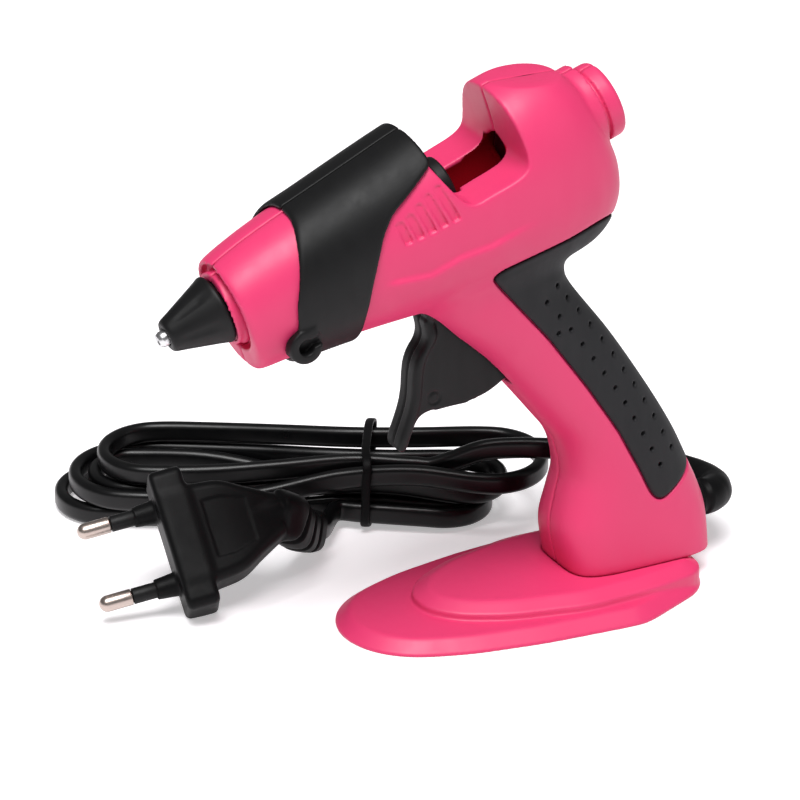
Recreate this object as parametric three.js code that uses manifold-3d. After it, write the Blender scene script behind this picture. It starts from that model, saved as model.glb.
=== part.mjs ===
import * as THREE from 'three';
import { mergeVertices } from 'three/addons/utils/BufferGeometryUtils.js';
import Module from 'manifold-3d';

const wasm = await Module();
wasm.setup();

// ---------- Driving dimensions, millimetres ----------
// Frame: X runs from the nozzle towards the cord, Y to the left, Z up; the floor is Z = 0.
const fit = 0.3;
const tiny = 0.05;
const shortEdge = 0.012;
const needleHeight = 0.004;
const roundSides = 16;
const smallSides = 10;
const half = 0.5;
const fullTurn = 2 * Math.PI;
// Reach of the blocks and pins that cut, past every face.
const far = 200;

// Barrel axis: where the nozzle tip sits and how far the barrel leans back.
const tip = { x: -90.9, z: 85.35 };
const barrelTilt = 19.5 * Math.PI / 180;

// Barrel and domed rear: top and bottom of each section along the barrel axis, then half its width.
const barrelTable = [
  [16.6, 9.3, 16.9, -14.7, 11.3],
  [17.7, 10.8, 18.1, -16.2, 12.6],
  [25.7, 12.4, 25.7, -17.8, 13.5],
  [34.8, 13.6, 34.8, -19.4, 14.5],
  [44.5, 14.4, 44.5, -21.4, 15],
  [58.4, 15.7, 58.4, -24.7, 16],
  [69.6, 16.8, 69.6, -27.3, 16.3],
  [80, 17.1, 80, -29.3, 16.8],
  [92.5, 17, 92.5, -31.5, 17.2],
  [98, 16.9, 98.6, -32.4, 16.9],
  [103.5, 15.4, 106, -32, 15.8],
  [107.6, 12.7, 110.7, -30, 14.2],
  [111, 9.1, 113.9, -26, 11.9],
  [113, 4, 116, -20, 8.2],
];
const barrelRoundness = 2.35;

// Handle: front and rear of each section in X and Z, then half its width.
const handleTable = [
  [-26, 85, 10, 95, 12.6],
  [-24.2, 80.2, 12.4, 87.6, 12.5],
  [-19, 74.6, 14.2, 81.7, 12.2],
  [-8.8, 65, 24.2, 66.9, 11.6],
  [5.4, 47.9, 34.5, 51.6, 11.6],
  [10.8, 40.4, 41.6, 39.8, 11.8],
  [12.8, 32, 45.8, 31.3, 12],
  [11.6, 25.6, 49.4, 23.6, 12],
  [8.2, 19, 51.8, 17.6, 12],
  [15.5, 6.5, 52.6, 6.5, 11.8],
];
const handleRoundness = 2.5;

// Shell of the two housing halves.
const wall = 2.6;
const partingGap = 0.15;
const ringRadius = 9.8;
const ringStepRadius = 8.3;
const ringNotchRadius = 7.7;
const ringPlaces = { start: 104, shoulder: 115.6, notch: 117, end: 120.9 };
const stickBore = 4.7;
const noseGroove = { inner: 9.7, outer: 11, depth: 1.2, lip: 24 };
const noseCollar = { radius: 9.4, proud: 0.8 };

// Screw bosses: two along the barrel axis, two in the handle; then the screws.
const bossTable = [[50, -18], [106, -16], [11.5, 49.5], [22, 30]];
const screw = { boss: 4.2, shank: 1.5, head: 2.8, sink: 8.6, length: 14 };

// Feed window: outline along the barrel axis, cut across the whole width.
const windowOutline = [
  [69.4, 40], [69.9, 13], [72.4, 5], [74, 1.6], [76, -0.2], [80, 0.1],
  [88, 0.3], [91, 1.5], [92, 4], [92.5, 9], [92.5, 40],
];
const windowDeck = 1.7;
const troughRadius = 5.5;
const troughWall = 1.5;
const troughEnd = 91.6;

// Vents in both flanks: place and height of each slot along the barrel axis.
const ventTable = [
  [58.6, 4.8, 59.1, -0.7],
  [61.4, 5.3, 62.1, -0.9],
  [64.3, 6.3, 65.2, -1.1],
  [67.1, 7.2, 68.3, -1.2],
  [70, 7.8, 71.5, -1.3],
];
const ventWidth = 1.2;
const ventDepth = 1.3;

// Band round the barrel and its snap bearings for a wire stand.
const bandOutline = [
  [38, 30], [37.6, 14.8], [35.3, 11.2], [32.7, 6.4], [28.9, -0.9], [26.6, -7.9], [25.2, -14], [24.6, -28],
  [40, -28], [40.9, -19.6], [43.2, -12.6], [46.6, -5.9], [50.5, 0.2], [53.4, 4.2], [57.3, 7.4],
  [62.6, 10.2], [70, 13.6], [70, 30],
];
const bandProud = 1.3;
const lug = { place: 26.6, drop: -11.4, radius: 4.2, bore: 1.7, proud: 2.2, slot: 2.2 };

// Soft grip covers on the flanks of the handle.
const gripOutline = [
  [-13.6, 90.6], [2.9, 71.6], [13.7, 57], [22.4, 44], [28.5, 32.4], [31.6, 26], [33.6, 23.8],
  [36, 23.7], [44.3, 29], [60, 39], [60, 70], [36, 95.5], [24.7, 97.6], [18.3, 100], [13.7, 99.6], [-11.2, 92.6],
];
const gripDepth = 1.4;

// Trigger and its pin.
const triggerOutline = [
  [-25.6, 79], [-24.3, 75.2], [-24.9, 72.6], [-26.6, 70.4], [-27.8, 67.6], [-28.2, 64.2], [-28.3, 60.4],
  [-28.9, 56.8], [-30.2, 53], [-31.5, 49.6], [-31.9, 47.8], [-31.4, 46.6], [-30.2, 46.6], [-29.2, 48.6],
  [-28, 51.8], [-26.5, 54.5], [-24, 55.6], [-18.6, 55.7], [-13.5, 55.9], [-8.2, 57.1], [-3.9, 59.6],
  [2.5, 64.4], [-9, 75], [-17.5, 81.4],
];
// Slot in the handle that the trigger swings in.
const triggerSlot = [
  [-36, 79], [-36, 40], [-20, 44], [-8, 48], [6, 55], [12, 62], [2, 78], [-10, 90], [-28, 88], [-29, 80],
];
const slotSide = 0.5;
const triggerHub = { x: -22.2, z: 82.3, radius: 3.6, bore: 1.8 };
const triggerHalfWidth = 3.9;
const triggerPinRadius = 1.5;
const pinBoss = 1.6;
const pinReach = 10;
const finger = { length: 13.5, radius: 1.4, neck: 1, halfWidth: 3 };
const fingerLug = { gap: 0.4, thick: 1.9, reach: 2.6 };

// Hot end, placed along the barrel axis.
const nozzleSteel = { tipRadius: 1.9, coneEnd: 12.5, coneRadius: 4.4, shank: 3.4, end: 24, bore: 0.9 };
const cap = { start: 2.8, startRadius: 3.8, end: 15.2, endRadius: 8.3, neck: 6.2, neckEnd: 20 };
const chamber = { start: 22.6, end: 61, radius: 7.4, bore: 4, flange: 8.6 };
const sleeve = { start: 61.3, end: 76.4, radius: 6.7, bore: 4.3 };
const heater = { start: 30, end: 52, thick: 3, halfWidth: 6 };
const heaterBay = { front: 25, rear: 54, halfWidth: 8.2, bottom: -12.3 };
const strapPlace = { front: 36, rear: 42 };
const clipSheet = 0.8;
const ribPlaces = [27, 44, 62.4];
const ribThickness = 2;
const ribBottom = -12.4;

// Feed carriage, jaw and spring.
const sled = { start: 60.2, end: 107.4, top: -8.2, thick: 2.6, halfWidth: 5.2 };
const sledBay = { front: 54, rear: 112, step: 69.6, shallow: -14.5, lugs: 58, deep: -24 };
const yoke = { start: 99.4, end: 103.4, radius: 7.8, bore: 5 };
const jaw = { place: 105.2, pivot: -6.8, thick: 1.6, halfWidth: 3.3, top: -3, pin: 0.9 };
const ear = { inner: 3.7, front: 104, rear: 106.6, top: -5.2 };
const springTab = { front: 96, rear: 98, bottom: -18.4, halfWidth: 3 };
const springStop = { front: 70.3, rear: 72.3, top: -12.2, bottom: -20 };
const guidePlace = 80;
const guideTop = -2;
const leadPassage = { outer: 10.5, inner: 5.2, top: -18 };
const spring = { radius: 2.2, wire: 0.5, start: 73.3, end: 95, drop: -15.4, coils: 6 };

// Foot: plan outline of one half and its raised seat.
const footPlan = [
  [-45.3, 0], [-44.7, 4.4], [-43, 9], [-39.6, 13.6], [-34, 17.7], [-22, 21.9], [-4, 25.1],
  [18, 27], [23, 27.1], [43, 18.3], [47.8, 9], [48.2, 0],
];
const seatPlan = [
  [-22.6, 0], [-21.9, 4], [-17.6, 8.9], [-8, 13.7], [10.5, 18], [28, 17.4], [42.5, 14.8], [43.5, 0],
];
const footHeight = 3.4;
const seatHeight = 7;
const footSkin = 1.8;
const handleSeat = seatHeight - 0.5;
const footRib = 1.8;
const pocketDepth = 0.4;

// Cord entry at the back of the handle.
const relief = { seat: 47.9, z: 15.4, bore: 4.95, hole: 5.9 };
const reliefPath = [
  [45.6, 0, 15.4, 5.6], [47.6, 0, 15.4, 5.6], [47.7, 0, 15.4, 4.6], [52.6, 0, 15.4, 4.6],
  [52.7, 0, 15.4, 3.9], [53.7, 0, 15.4, 3.9], [53.8, 0, 15.4, 4.6], [56, 0.5, 15.4, 4.6],
  [59, 2.4, 15.3, 4.6], [61, 6, 15.1, 4.4], [61.6, 10.5, 14.7, 4.2], [61, 15, 14.1, 4.1],
  [59.4, 20, 13.4, 3.9],
];

// Flat two-wire cord, thicker one way than the other.
const cordWide = 5.4;
const cordThin = 3.4;
const wireRadius = 0.9;

// Hank: laid in three layers, drawn in at the waist where the tie holds it.
const hank = {
  x: -29.7, y: 72.9, turn: -30 * Math.PI / 180, halfLength: 56, endRadius: 16.6, pitch: 4.9,
  layers: 3, layerTurns: 1.5, layerPitch: 6, layerShift: 7, leftShiftShare: 0.8, floor: 3, lift: 1.5,
  waist: 25.5, waistReach: 26, drawn: 5.4, climbShare: 0.08, begin: 0.2, end: 4.2,
};
const tie = { halfWidth: 1.1, thick: 0.9, halfAcross: 15.2, top: 20.4, floor: 0.3 };

// Lead wires from the cord to the heater, one side; the other is its mirror image.
const wireTable = [
  [40, 1.6, 15.4], [34, 2.4, 19], [28.5, 5.6, 34], [20, 7, 52], [8, 6.8, 70], [-8, 6.6, 84],
  [-22, 6.6, 90.4], [-34, 7.4, 92], [-39, 6, 90.5], [-42.2, 3, 90.3],
];

// Points of the lead between the hank and the strain relief.
const leadOver = [[47, -7.6, 17.4], [54.5, -8, 20.6], [63, -8, 21.5], [72, -7.5, 21.3]];
const leadTable = [[40, 31.6, 18.6], [49, 31.2, 15.4], [55.6, 28.6, 13.5], [58.3, 24.6, 13.15], [59.3, 20.4, 13.35]];

// Plug: where its pin face sits, which way the pins and the broad face look.
const plugOrigin = new THREE.Vector3(-74.9, 34.8, 15.4);
const pinAxis = new THREE.Vector3(-0.965, 0.2, -0.17).normalize();
const pinPitch = 18.6;
const plugLong = new THREE.Vector3(0.03, -0.69, -0.72);
const plugTable = [
  [0, -16.9, 16.9, 6.2], [0.8, -17.6, 17.6, 6.85], [7.6, -17.6, 17.6, 6.85], [8.4, -17.2, 17.2, 6.6],
  [9, -12.6, 12.6, 6.4], [16, -11.6, 11.6, 6.2], [22, -8.4, 8.4, 5.6], [27.6, -5.6, 5.6, 4.6],
];
const neck = {
  start: 22, bend: 29, path: [[-41.8, 32.8, 14.8], [-36.8, 38, 10], [-31.6, 42.4, 7.2]], steps: 22,
  wide: [5.2, 4.1], thin: [4.2, 3.1], rib: 0.9,
};
const plugPanel = { start: 9.8, end: 20, half: 7, level: 5.9 };
const plugBoss = { radius: 2.9, length: 5.6 };
const pinMetal = { radius: 2, length: 6.3, root: 6 };
const pinStep = 0.55;
const pinSleeve = { radius: 1.95, length: 11.2 };

// ---------- Placing ----------
const axisX = Math.cos(barrelTilt);
const axisZ = Math.sin(barrelTilt);

function along(s, w) {
  return [tip.x + s * axisX - w * axisZ, tip.z + s * axisZ + w * axisX];
}

function barrelMatrix() {
  const turn = new THREE.Matrix4().makeRotationY(-barrelTilt);
  turn.setPosition(tip.x, 0, tip.z);
  return turn;
}

function framed(origin, forward, sideways) {
  const x = forward.clone().normalize();
  const z = new THREE.Vector3().crossVectors(x, sideways).normalize();
  const y = new THREE.Vector3().crossVectors(z, x).normalize();
  const matrix = new THREE.Matrix4().makeBasis(x, y, z);
  matrix.setPosition(origin);
  return matrix;
}

// ---------- Solids ----------
function asSolid(geometry) {
  geometry.deleteAttribute('normal');
  geometry.deleteAttribute('uv');
  const merged = mergeVertices(geometry, tiny * tiny);
  const vertProperties = new Float32Array(merged.attributes.position.array);
  const triVerts = new Uint32Array(merged.index.array);
  return new wasm.Manifold(new wasm.Mesh({ numProp: 3, vertProperties, triVerts }));
}

function asMesh(name, solidBody, finish) {
  const raw = solidBody.getMesh();
  const step = raw.numProp;
  const points = new Float32Array(raw.numVert * 3);
  for (let i = 0; i < raw.numVert; i += 1) {
    points.set(raw.vertProperties.subarray(i * step, i * step + 3), i * 3);
  }
  const tidy = cleaned(points, Array.from(raw.triVerts));
  const geometry = new THREE.BufferGeometry();
  geometry.setAttribute('position', new THREE.Float32BufferAttribute(tidy.points, 3));
  geometry.setIndex(tidy.faces);
  geometry.computeVertexNormals();
  const mesh = new THREE.Mesh(geometry, new THREE.MeshStandardMaterial(finish));
  mesh.name = name;
  return mesh;
}

// Joins points that nearly meet, drops faces without area and turns the edges of needle faces.
function cleaned(points, faces) {
  const at = (i) => new THREE.Vector3(points[i * 3], points[i * 3 + 1], points[i * 3 + 2]);
  const parent = Array.from({ length: points.length / 3 }, (_, i) => i);
  const root = (i) => {
    let k = i;
    while (parent[k] !== k) k = parent[k];
    return k;
  };
  for (let i = 0; i < faces.length; i += 1) {
    const a = faces[i];
    const b = faces[i % 3 === 2 ? i - 2 : i + 1];
    if (at(a).distanceTo(at(b)) < shortEdge) parent[Math.max(root(a), root(b))] = Math.min(root(a), root(b));
  }
  let list = [];
  for (let i = 0; i < faces.length; i += 3) list.push([root(faces[i]), root(faces[i + 1]), root(faces[i + 2])]);
  list = list.filter(([a, b, c]) => a !== b && b !== c && c !== a);
  list = withoutPairs(list);
  for (let round = 0; round < 6; round += 1) {
    if (flipNeedles(list, at) === 0) break;
    list = withoutPairs(list);
  }
  const used = new Map();
  const kept = [];
  const index = list.flat().map((i) => {
    if (!used.has(i)) {
      used.set(i, used.size);
      kept.push(points[i * 3], points[i * 3 + 1], points[i * 3 + 2]);
    }
    return used.get(i);
  });
  return { points: kept, faces: index };
}

// Removes pairs of faces that lie on each other and face opposite ways.
function withoutPairs(list) {
  const seen = new Map();
  list.forEach((face, i) => {
    const key = [...face].sort((a, b) => a - b).join();
    if (seen.has(key)) {
      list[seen.get(key)] = null;
      list[i] = null;
      seen.delete(key);
    } else {
      seen.set(key, i);
    }
  });
  return list.filter((face) => face);
}

function flipNeedles(list, at) {
  const owner = new Map();
  list.forEach(([a, b, c], i) => {
    owner.set(`${a},${b}`, i);
    owner.set(`${b},${c}`, i);
    owner.set(`${c},${a}`, i);
  });
  let flips = 0;
  const touched = new Set();
  list.forEach((face, i) => {
    if (touched.has(i)) return;
    const corners = face.map(at);
    const lengths = [0, 1, 2].map((k) => corners[k].distanceTo(corners[(k + 1) % 3]));
    const k = lengths.indexOf(Math.max(...lengths));
    const sideA = corners[1].clone().sub(corners[0]);
    const area = sideA.cross(corners[2].clone().sub(corners[0])).length();
    if (area / lengths[k] > needleHeight) return;
    const a = face[k];
    const b = face[(k + 1) % 3];
    const c = face[(k + 2) % 3];
    const j = owner.get(`${b},${a}`);
    if (j === undefined || touched.has(j)) return;
    const d = list[j].find((v) => v !== a && v !== b);
    if (d === c || owner.has(`${c},${d}`) || owner.has(`${d},${c}`)) return;
    list[i] = [a, d, c];
    list[j] = [d, b, c];
    touched.add(i);
    touched.add(j);
    flips += 1;
  });
  return flips;
}

function superPoint(angle, power) {
  const c = Math.cos(angle);
  const s = Math.sin(angle);
  return [
    Math.sign(c) * Math.abs(c) ** (2 / power),
    Math.sign(s) * Math.abs(s) ** (2 / power),
  ];
}

// A closed body through sections given by two opposite points and half a width.
function loft(stations, power, sides) {
  const points = [];
  const faces = [];
  stations.forEach(([ax, az, bx, bz, width]) => {
    for (let i = 0; i < sides; i += 1) {
      const [c, s] = superPoint(fullTurn * i / sides, power);
      points.push(
        (ax + bx) * half + (ax - bx) * half * c,
        width * s,
        (az + bz) * half + (az - bz) * half * c,
      );
    }
  });
  const last = stations.length - 1;
  for (let k = 0; k < last; k += 1) {
    for (let i = 0; i < sides; i += 1) {
      const a = k * sides + i;
      const b = k * sides + (i + 1) % sides;
      faces.push(a, b, a + sides, b, b + sides, a + sides);
    }
  }
  [0, last].forEach((k) => {
    const [ax, az, bx, bz] = stations[k];
    const centre = points.length / 3;
    points.push((ax + bx) * half, 0, (az + bz) * half);
    for (let i = 0; i < sides; i += 1) {
      const a = k * sides + i;
      const b = k * sides + (i + 1) % sides;
      if (k === 0) faces.push(centre, b, a);
      else faces.push(centre, a, b);
    }
  });
  const geometry = new THREE.BufferGeometry();
  geometry.setAttribute('position', new THREE.Float32BufferAttribute(points, 3));
  geometry.setIndex(faces);
  return facingOut(geometry);
}

// Turns the faces round where they enclose a negative volume.
function facingOut(geometry) {
  const p = geometry.attributes.position;
  const index = geometry.index.array;
  const a = new THREE.Vector3();
  const b = new THREE.Vector3();
  const c = new THREE.Vector3();
  let volume = 0;
  for (let i = 0; i < index.length; i += 3) {
    a.fromBufferAttribute(p, index[i]);
    b.fromBufferAttribute(p, index[i + 1]);
    c.fromBufferAttribute(p, index[i + 2]);
    volume += a.dot(b.cross(c));
  }
  if (volume < 0) {
    for (let i = 0; i < index.length; i += 3) {
      [index[i + 1], index[i + 2]] = [index[i + 2], index[i + 1]];
    }
  }
  return asSolid(geometry);
}

function shrunk(stations, by) {
  return stations.map(([ax, az, bx, bz, width]) => {
    const length = Math.hypot(ax - bx, az - bz);
    const x = (ax - bx) / length * by;
    const z = (az - bz) / length * by;
    return [ax - x, az - z, bx + x, bz + z, width - by];
  });
}

function plate(outline, y0, y1) {
  const shape = new THREE.Shape(outline.map(([x, z]) => new THREE.Vector2(x, z)));
  const geometry = new THREE.ExtrudeGeometry(shape, { depth: y1 - y0, bevelEnabled: false });
  geometry.rotateX(Math.PI / 2);
  geometry.translate(0, y1, 0);
  return asSolid(geometry);
}

// A plate whose outline is given along and across the barrel axis.
function barrelPlate(outline, y0, y1) {
  return plate(outline.map(([s, w]) => along(s, w)), y0, y1);
}

function box(x0, x1, y0, y1, z0, z1) {
  const geometry = new THREE.BoxGeometry(x1 - x0, y1 - y0, z1 - z0);
  geometry.translate((x0 + x1) * half, (y0 + y1) * half, (z0 + z1) * half);
  return asSolid(geometry);
}

function barrelBox(s0, s1, y0, y1, w0, w1) {
  return barrelPlate([[s0, w0], [s1, w0], [s1, w1], [s0, w1]], y0, y1);
}

// Body turned about the barrel axis from pairs of radius and place.
function turned(profile, sides = roundSides) {
  const geometry = new THREE.LatheGeometry(profile.map(([r, s]) => new THREE.Vector2(r, s)), sides);
  geometry.rotateZ(-Math.PI / 2);
  geometry.applyMatrix4(barrelMatrix());
  return facingOut(stitched(geometry));
}

function stitched(geometry) {
  geometry.deleteAttribute('normal');
  geometry.deleteAttribute('uv');
  return mergeVertices(geometry, tiny * tiny);
}

function bar(radius, s0, s1, sides = roundSides) {
  return turned([[0, s0], [radius, s0], [radius, s1], [0, s1]], sides);
}

function offAxis(body, w) {
  return body.translate([-w * axisZ, 0, w * axisX]);
}

function crossPin(radius, x, z, y0, y1, sides = smallSides) {
  const geometry = new THREE.CylinderGeometry(radius, radius, y1 - y0, sides);
  geometry.translate(x, (y0 + y1) * half, z);
  return asSolid(geometry);
}

function joined(first, ...others) {
  return others.reduce((sum, next) => sum.add(next), first);
}

function sideHalf(y0, y1) {
  return box(-far, far, y0, y1, -far, far);
}

// ---------- Outer form ----------
const bodySides = 28;
const handleSides = 22;
const barrelStations = barrelTable.map(([s0, w0, s1, w1, width]) => [...along(s0, w0), ...along(s1, w1), width]);

function barrelForm(inset) {
  return loft(shrunk(barrelStations, inset), barrelRoundness, bodySides);
}

function handleForm(inset) {
  return loft(shrunk(handleTable, inset), handleRoundness, handleSides);
}

function outerForm(inset) {
  return barrelForm(inset).add(handleForm(inset));
}

// The hollow ends one section short of the domed rear, which leaves the rear wall.
function hollowForm(inset) {
  const barrel = loft(shrunk(barrelStations.slice(1, -1), inset), barrelRoundness, bodySides);
  return barrel.add(handleForm(inset));
}

function gripZone(inset) {
  const centreX = gripOutline.reduce((sum, [x]) => sum + x, 0) / gripOutline.length;
  const centreZ = gripOutline.reduce((sum, [, z]) => sum + z, 0) / gripOutline.length;
  const outline = gripOutline.map(([x, z]) => {
    const length = Math.hypot(x - centreX, z - centreZ);
    return [x - (x - centreX) / length * inset, z - (z - centreZ) / length * inset];
  });
  return plate(outline, -far, far);
}

function windowZone(grow) {
  const outline = windowOutline.map(([s, w], i) => {
    const front = i < windowOutline.length * half - 1;
    const shiftS = Math.abs(w) > windowDeck || i === 0 ? (front ? -grow : grow) : 0;
    const shiftW = w < 5 ? -grow : 0;
    return [s + shiftS, w + shiftW];
  });
  return barrelPlate(outline, -far, far);
}

// ---------- Housing ----------
function noseCuts() {
  const face = barrelTable[0][0];
  const middle = (barrelTable[1][1] + barrelTable[1][3]) * half;
  const ring = turned([
    [noseGroove.inner, face - 1], [noseGroove.outer, face - 1],
    [noseGroove.outer, face + noseGroove.depth], [noseGroove.inner, face + noseGroove.depth],
    [noseGroove.inner, face - 1],
  ]);
  const [dx, dz] = [-middle * axisZ, middle * axisX];
  const lip = noseGroove.outer * Math.sin(noseGroove.lip * Math.PI / 180);
  const keep = barrelBox(face - 3, face + 5, -lip, lip, middle - noseGroove.outer * 2, middle);
  return ring.translate([dx, 0, dz]).subtract(keep);
}

function vents() {
  const slots = [];
  ventTable.forEach(([s0, w0, s1, w1]) => {
    const outline = [
      [s0 - ventWidth * half, w0], [s0 + ventWidth * half, w0],
      [s1 + ventWidth * half, w1], [s1 - ventWidth * half, w1],
    ];
    slots.push(barrelPlate(outline, -far, far));
  });
  const skin = barrelForm(-ventDepth).subtract(barrelForm(ventDepth));
  return slots[0].add(slots[1]).add(slots[2]).add(slots[3]).add(slots[4]).intersect(skin);
}

function screwPlaces() {
  return [along(...bossTable[0]), along(...bossTable[1]), bossTable[2], bossTable[3]];
}

function housing() {
  const outer = outerForm(0);
  const front = barrelBox(0, cap.neckEnd - half, -far, far, -far, far);
  const hollow = hollowForm(wall).subtract(front);
  const floorCut = box(-far, far, -far, far, -far, handleSeat);
  let body = outer.subtract(hollow);

  const deck = outer.intersect(windowZone(windowDeck));
  body = body.add(deck);
  const trough = bar(troughRadius + troughWall, windowOutline[3][0], troughEnd + troughWall)
    .intersect(barrelBox(0, far, -far, far, -far, 0));
  body = body.add(trough);

  const ring = turned([
    [0, ringPlaces.start], [ringRadius, ringPlaces.start], [ringRadius, ringPlaces.shoulder],
    [ringNotchRadius, ringPlaces.shoulder], [ringNotchRadius, ringPlaces.notch],
    [ringStepRadius, ringPlaces.notch], [ringStepRadius, ringPlaces.end - 1],
    [ringStepRadius - 1, ringPlaces.end], [0, ringPlaces.end],
  ]);
  const ringSolid = ring.subtract(hollowForm(wall));
  const collar = bar(noseCollar.radius, barrelTable[0][0] - noseCollar.proud, barrelTable[1][0]);
  body = body.add(ringSolid).add(collar);

  const inside = outerForm(wall * half);
  ribPlaces.forEach((place) => {
    const slab = barrelBox(place, place + ribThickness, -far, far, -far, far);
    const below = barrelBox(place - 1, place + ribThickness + 1, -far, far, -far, ribBottom);
    body = body.add(slab.subtract(below).intersect(inside));
  });
  const pass = leadPassage;
  const stop = barrelBox(springStop.front, springStop.rear, -far, far, springStop.bottom, springStop.top);
  const guide = barrelBox(guidePlace, guidePlace + ribThickness, -far, far, springStop.bottom, guideTop);
  const passage = barrelBox(springStop.front - 1, springStop.rear + 1, -pass.outer, pass.outer, -far, pass.top);
  const keep = barrelBox(springStop.front - 1, springStop.rear + 1, -pass.inner, pass.inner, -far, pass.top);
  body = body.add(stop.subtract(passage.subtract(keep)).intersect(inside)).add(guide.intersect(inside));
  screwPlaces().forEach(([x, z]) => {
    body = body.add(crossPin(screw.boss, x, z, -far, far).intersect(inside));
  });
  body = body.add(crossPin(triggerPinRadius + pinBoss, triggerHub.x, triggerHub.z, -far, far).intersect(inside));
  return body.subtract(windowZone(0)).subtract(floorCut);
}

function housingCuts() {
  const cuts = [];
  cuts.push(noseCuts());
  cuts.push(vents());
  cuts.push(bar(cap.neck + fit, 0, cap.neckEnd + fit));
  cuts.push(bar(noseCollar.radius - 1, 0, barrelTable[0][0] - tiny));
  cuts.push(bar(chamber.radius + fit, cap.neckEnd, chamber.end + 2));
  cuts.push(bar(chamber.flange + fit, chamber.start - 1, chamber.start + 2 + fit));
  cuts.push(bar(sleeve.radius + fit, chamber.end, sleeve.end + 1));
  cuts.push(barrelBox(
    heaterBay.front, heaterBay.rear, -heaterBay.halfWidth, heaterBay.halfWidth, heaterBay.bottom, 0,
  ));
  const channel = bar(troughRadius, sleeve.end + fit, troughEnd);
  const open = barrelBox(sleeve.end + fit, troughEnd - 2, -troughRadius, troughRadius, 0, far);
  cuts.push(channel.add(open));
  cuts.push(bar(stickBore, guidePlace, far));
  const sledSide = sled.halfWidth + fit;
  const sledBottom = sled.top - sled.thick - fit;
  cuts.push(barrelBox(sledBay.front, sledBay.rear, -sledSide, sledSide, sledBottom, sled.top + fit));
  cuts.push(offAxis(bar(spring.radius + spring.wire + fit, guidePlace - 1, guidePlace + 3), spring.drop));
  cuts.push(plate(triggerSlot, -triggerHalfWidth - slotSide, triggerHalfWidth + slotSide));
  cuts.push(barrelBox(sledBay.front, sledBay.step, -sledSide, sledSide, sledBay.shallow, sled.top + fit));
  cuts.push(barrelBox(sledBay.lugs, sledBay.step, -sledSide, sledSide, sledBay.deep, sled.top + fit));
  cuts.push(crossPin(triggerPinRadius + fit, triggerHub.x, triggerHub.z, -pinReach, pinReach));
  cuts.push(reliefHole());
  screwPlaces().forEach(([x, z]) => {
    cuts.push(crossPin(screw.shank + fit, x, z, -screw.sink, far));
    cuts.push(crossPin(screw.head + fit, x, z, screw.sink, far));
  });
  return cuts;
}

function reliefHole() {
  return straightX(relief.hole, relief.seat - 8, relief.seat).add(straightX(relief.bore, relief.seat - 1, relief.seat + 14));
}

function straightX(radius, x0, x1) {
  const geometry = new THREE.CylinderGeometry(radius, radius, x1 - x0, roundSides);
  geometry.rotateZ(Math.PI / 2);
  geometry.translate((x0 + x1) * half, 0, relief.z);
  return asSolid(geometry);
}

function housingHalves() {
  let body = housing();
  housingCuts().forEach((cut) => {
    body = body.subtract(cut);
  });
  const skin = outerForm(-5).subtract(outerForm(gripDepth));
  body = body.subtract(gripZone(0).intersect(skin));
  return [
    body.intersect(sideHalf(partingGap, far)),
    body.intersect(sideHalf(-far, -partingGap)),
  ];
}


// ---------- Swept bodies ----------
// A closed body along points, with half its width and half its height given for each point.
function swept(points, halfSizes, sides, roundness, firstUp) {
  const vertices = [];
  const faces = [];
  const n = points.length;
  points.forEach((point, k) => {
    const before = points[Math.max(k - 1, 0)];
    const after = points[Math.min(k + 1, n - 1)];
    const ahead = after.clone().sub(before).normalize();
    if (after.distanceTo(before) < tiny) ahead.copy(points[k + 2]).sub(before).normalize();
    const side = new THREE.Vector3().crossVectors(ahead, firstUp).normalize();
    const up = new THREE.Vector3().crossVectors(side, ahead).normalize();
    for (let i = 0; i < sides; i += 1) {
      const [c, s] = superPoint(fullTurn * (i + half) / sides, roundness);
      const [a, b] = halfSizes(k);
      const v = point.clone().addScaledVector(side, a * c).addScaledVector(up, b * s);
      vertices.push(v.x, v.y, v.z);
    }
  });
  for (let k = 0; k < n - 1; k += 1) {
    for (let i = 0; i < sides; i += 1) {
      const a = k * sides + i;
      const b = k * sides + (i + 1) % sides;
      faces.push(a, b, a + sides, b, b + sides, a + sides);
    }
  }
  [0, n - 1].forEach((k) => {
    const centre = vertices.length / 3;
    vertices.push(points[k].x, points[k].y, points[k].z);
    for (let i = 0; i < sides; i += 1) {
      const a = k * sides + i;
      const b = k * sides + (i + 1) % sides;
      if (k === 0) faces.push(centre, b, a);
      else faces.push(centre, a, b);
    }
  });
  const geometry = new THREE.BufferGeometry();
  geometry.setAttribute('position', new THREE.Float32BufferAttribute(vertices, 3));
  geometry.setIndex(faces);
  return facingOut(geometry);
}

function smooth(list, steps) {
  const curve = new THREE.CatmullRomCurve3(list.map((p) => new THREE.Vector3(...p)), false, 'centripetal');
  return curve.getSpacedPoints(steps);
}

const upright = new THREE.Vector3(0, 0, 1);

// ---------- Band, grips ----------
function bandHalves() {
  const shell = barrelForm(-bandProud).subtract(barrelForm(-fit));
  let band = shell.intersect(barrelPlate(bandOutline, -far, far));
  const cuts = sideHalf(-partingGap, partingGap);
  const [x, z] = along(lug.place, lug.drop);
  const reach = barrelTable[2][4] + lug.proud;
  const [slotX, slotZ] = along(lug.place, lug.drop - lug.radius);
  [1, -1].forEach((side) => {
    const y0 = side > 0 ? 0 : -reach;
    const y1 = side > 0 ? reach : 0;
    const ringBody = crossPin(lug.radius, x, z, y0, y1, roundSides).subtract(barrelForm(-fit));
    const bore = crossPin(lug.bore, x, z, -reach - 1, reach + 1);
    const slot = box(
      slotX - lug.slot * half, slotX + lug.slot * half, -reach - 1, reach + 1, slotZ - 1, z,
    );
    const eye = ringBody.subtract(bore.add(slot).subtract(barrelForm(-bandProud)));
    band = band.add(eye);
  });
  const split = band.subtract(cuts);
  return [split.intersect(sideHalf(0, far)), split.intersect(sideHalf(-far, 0))];
}

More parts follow.
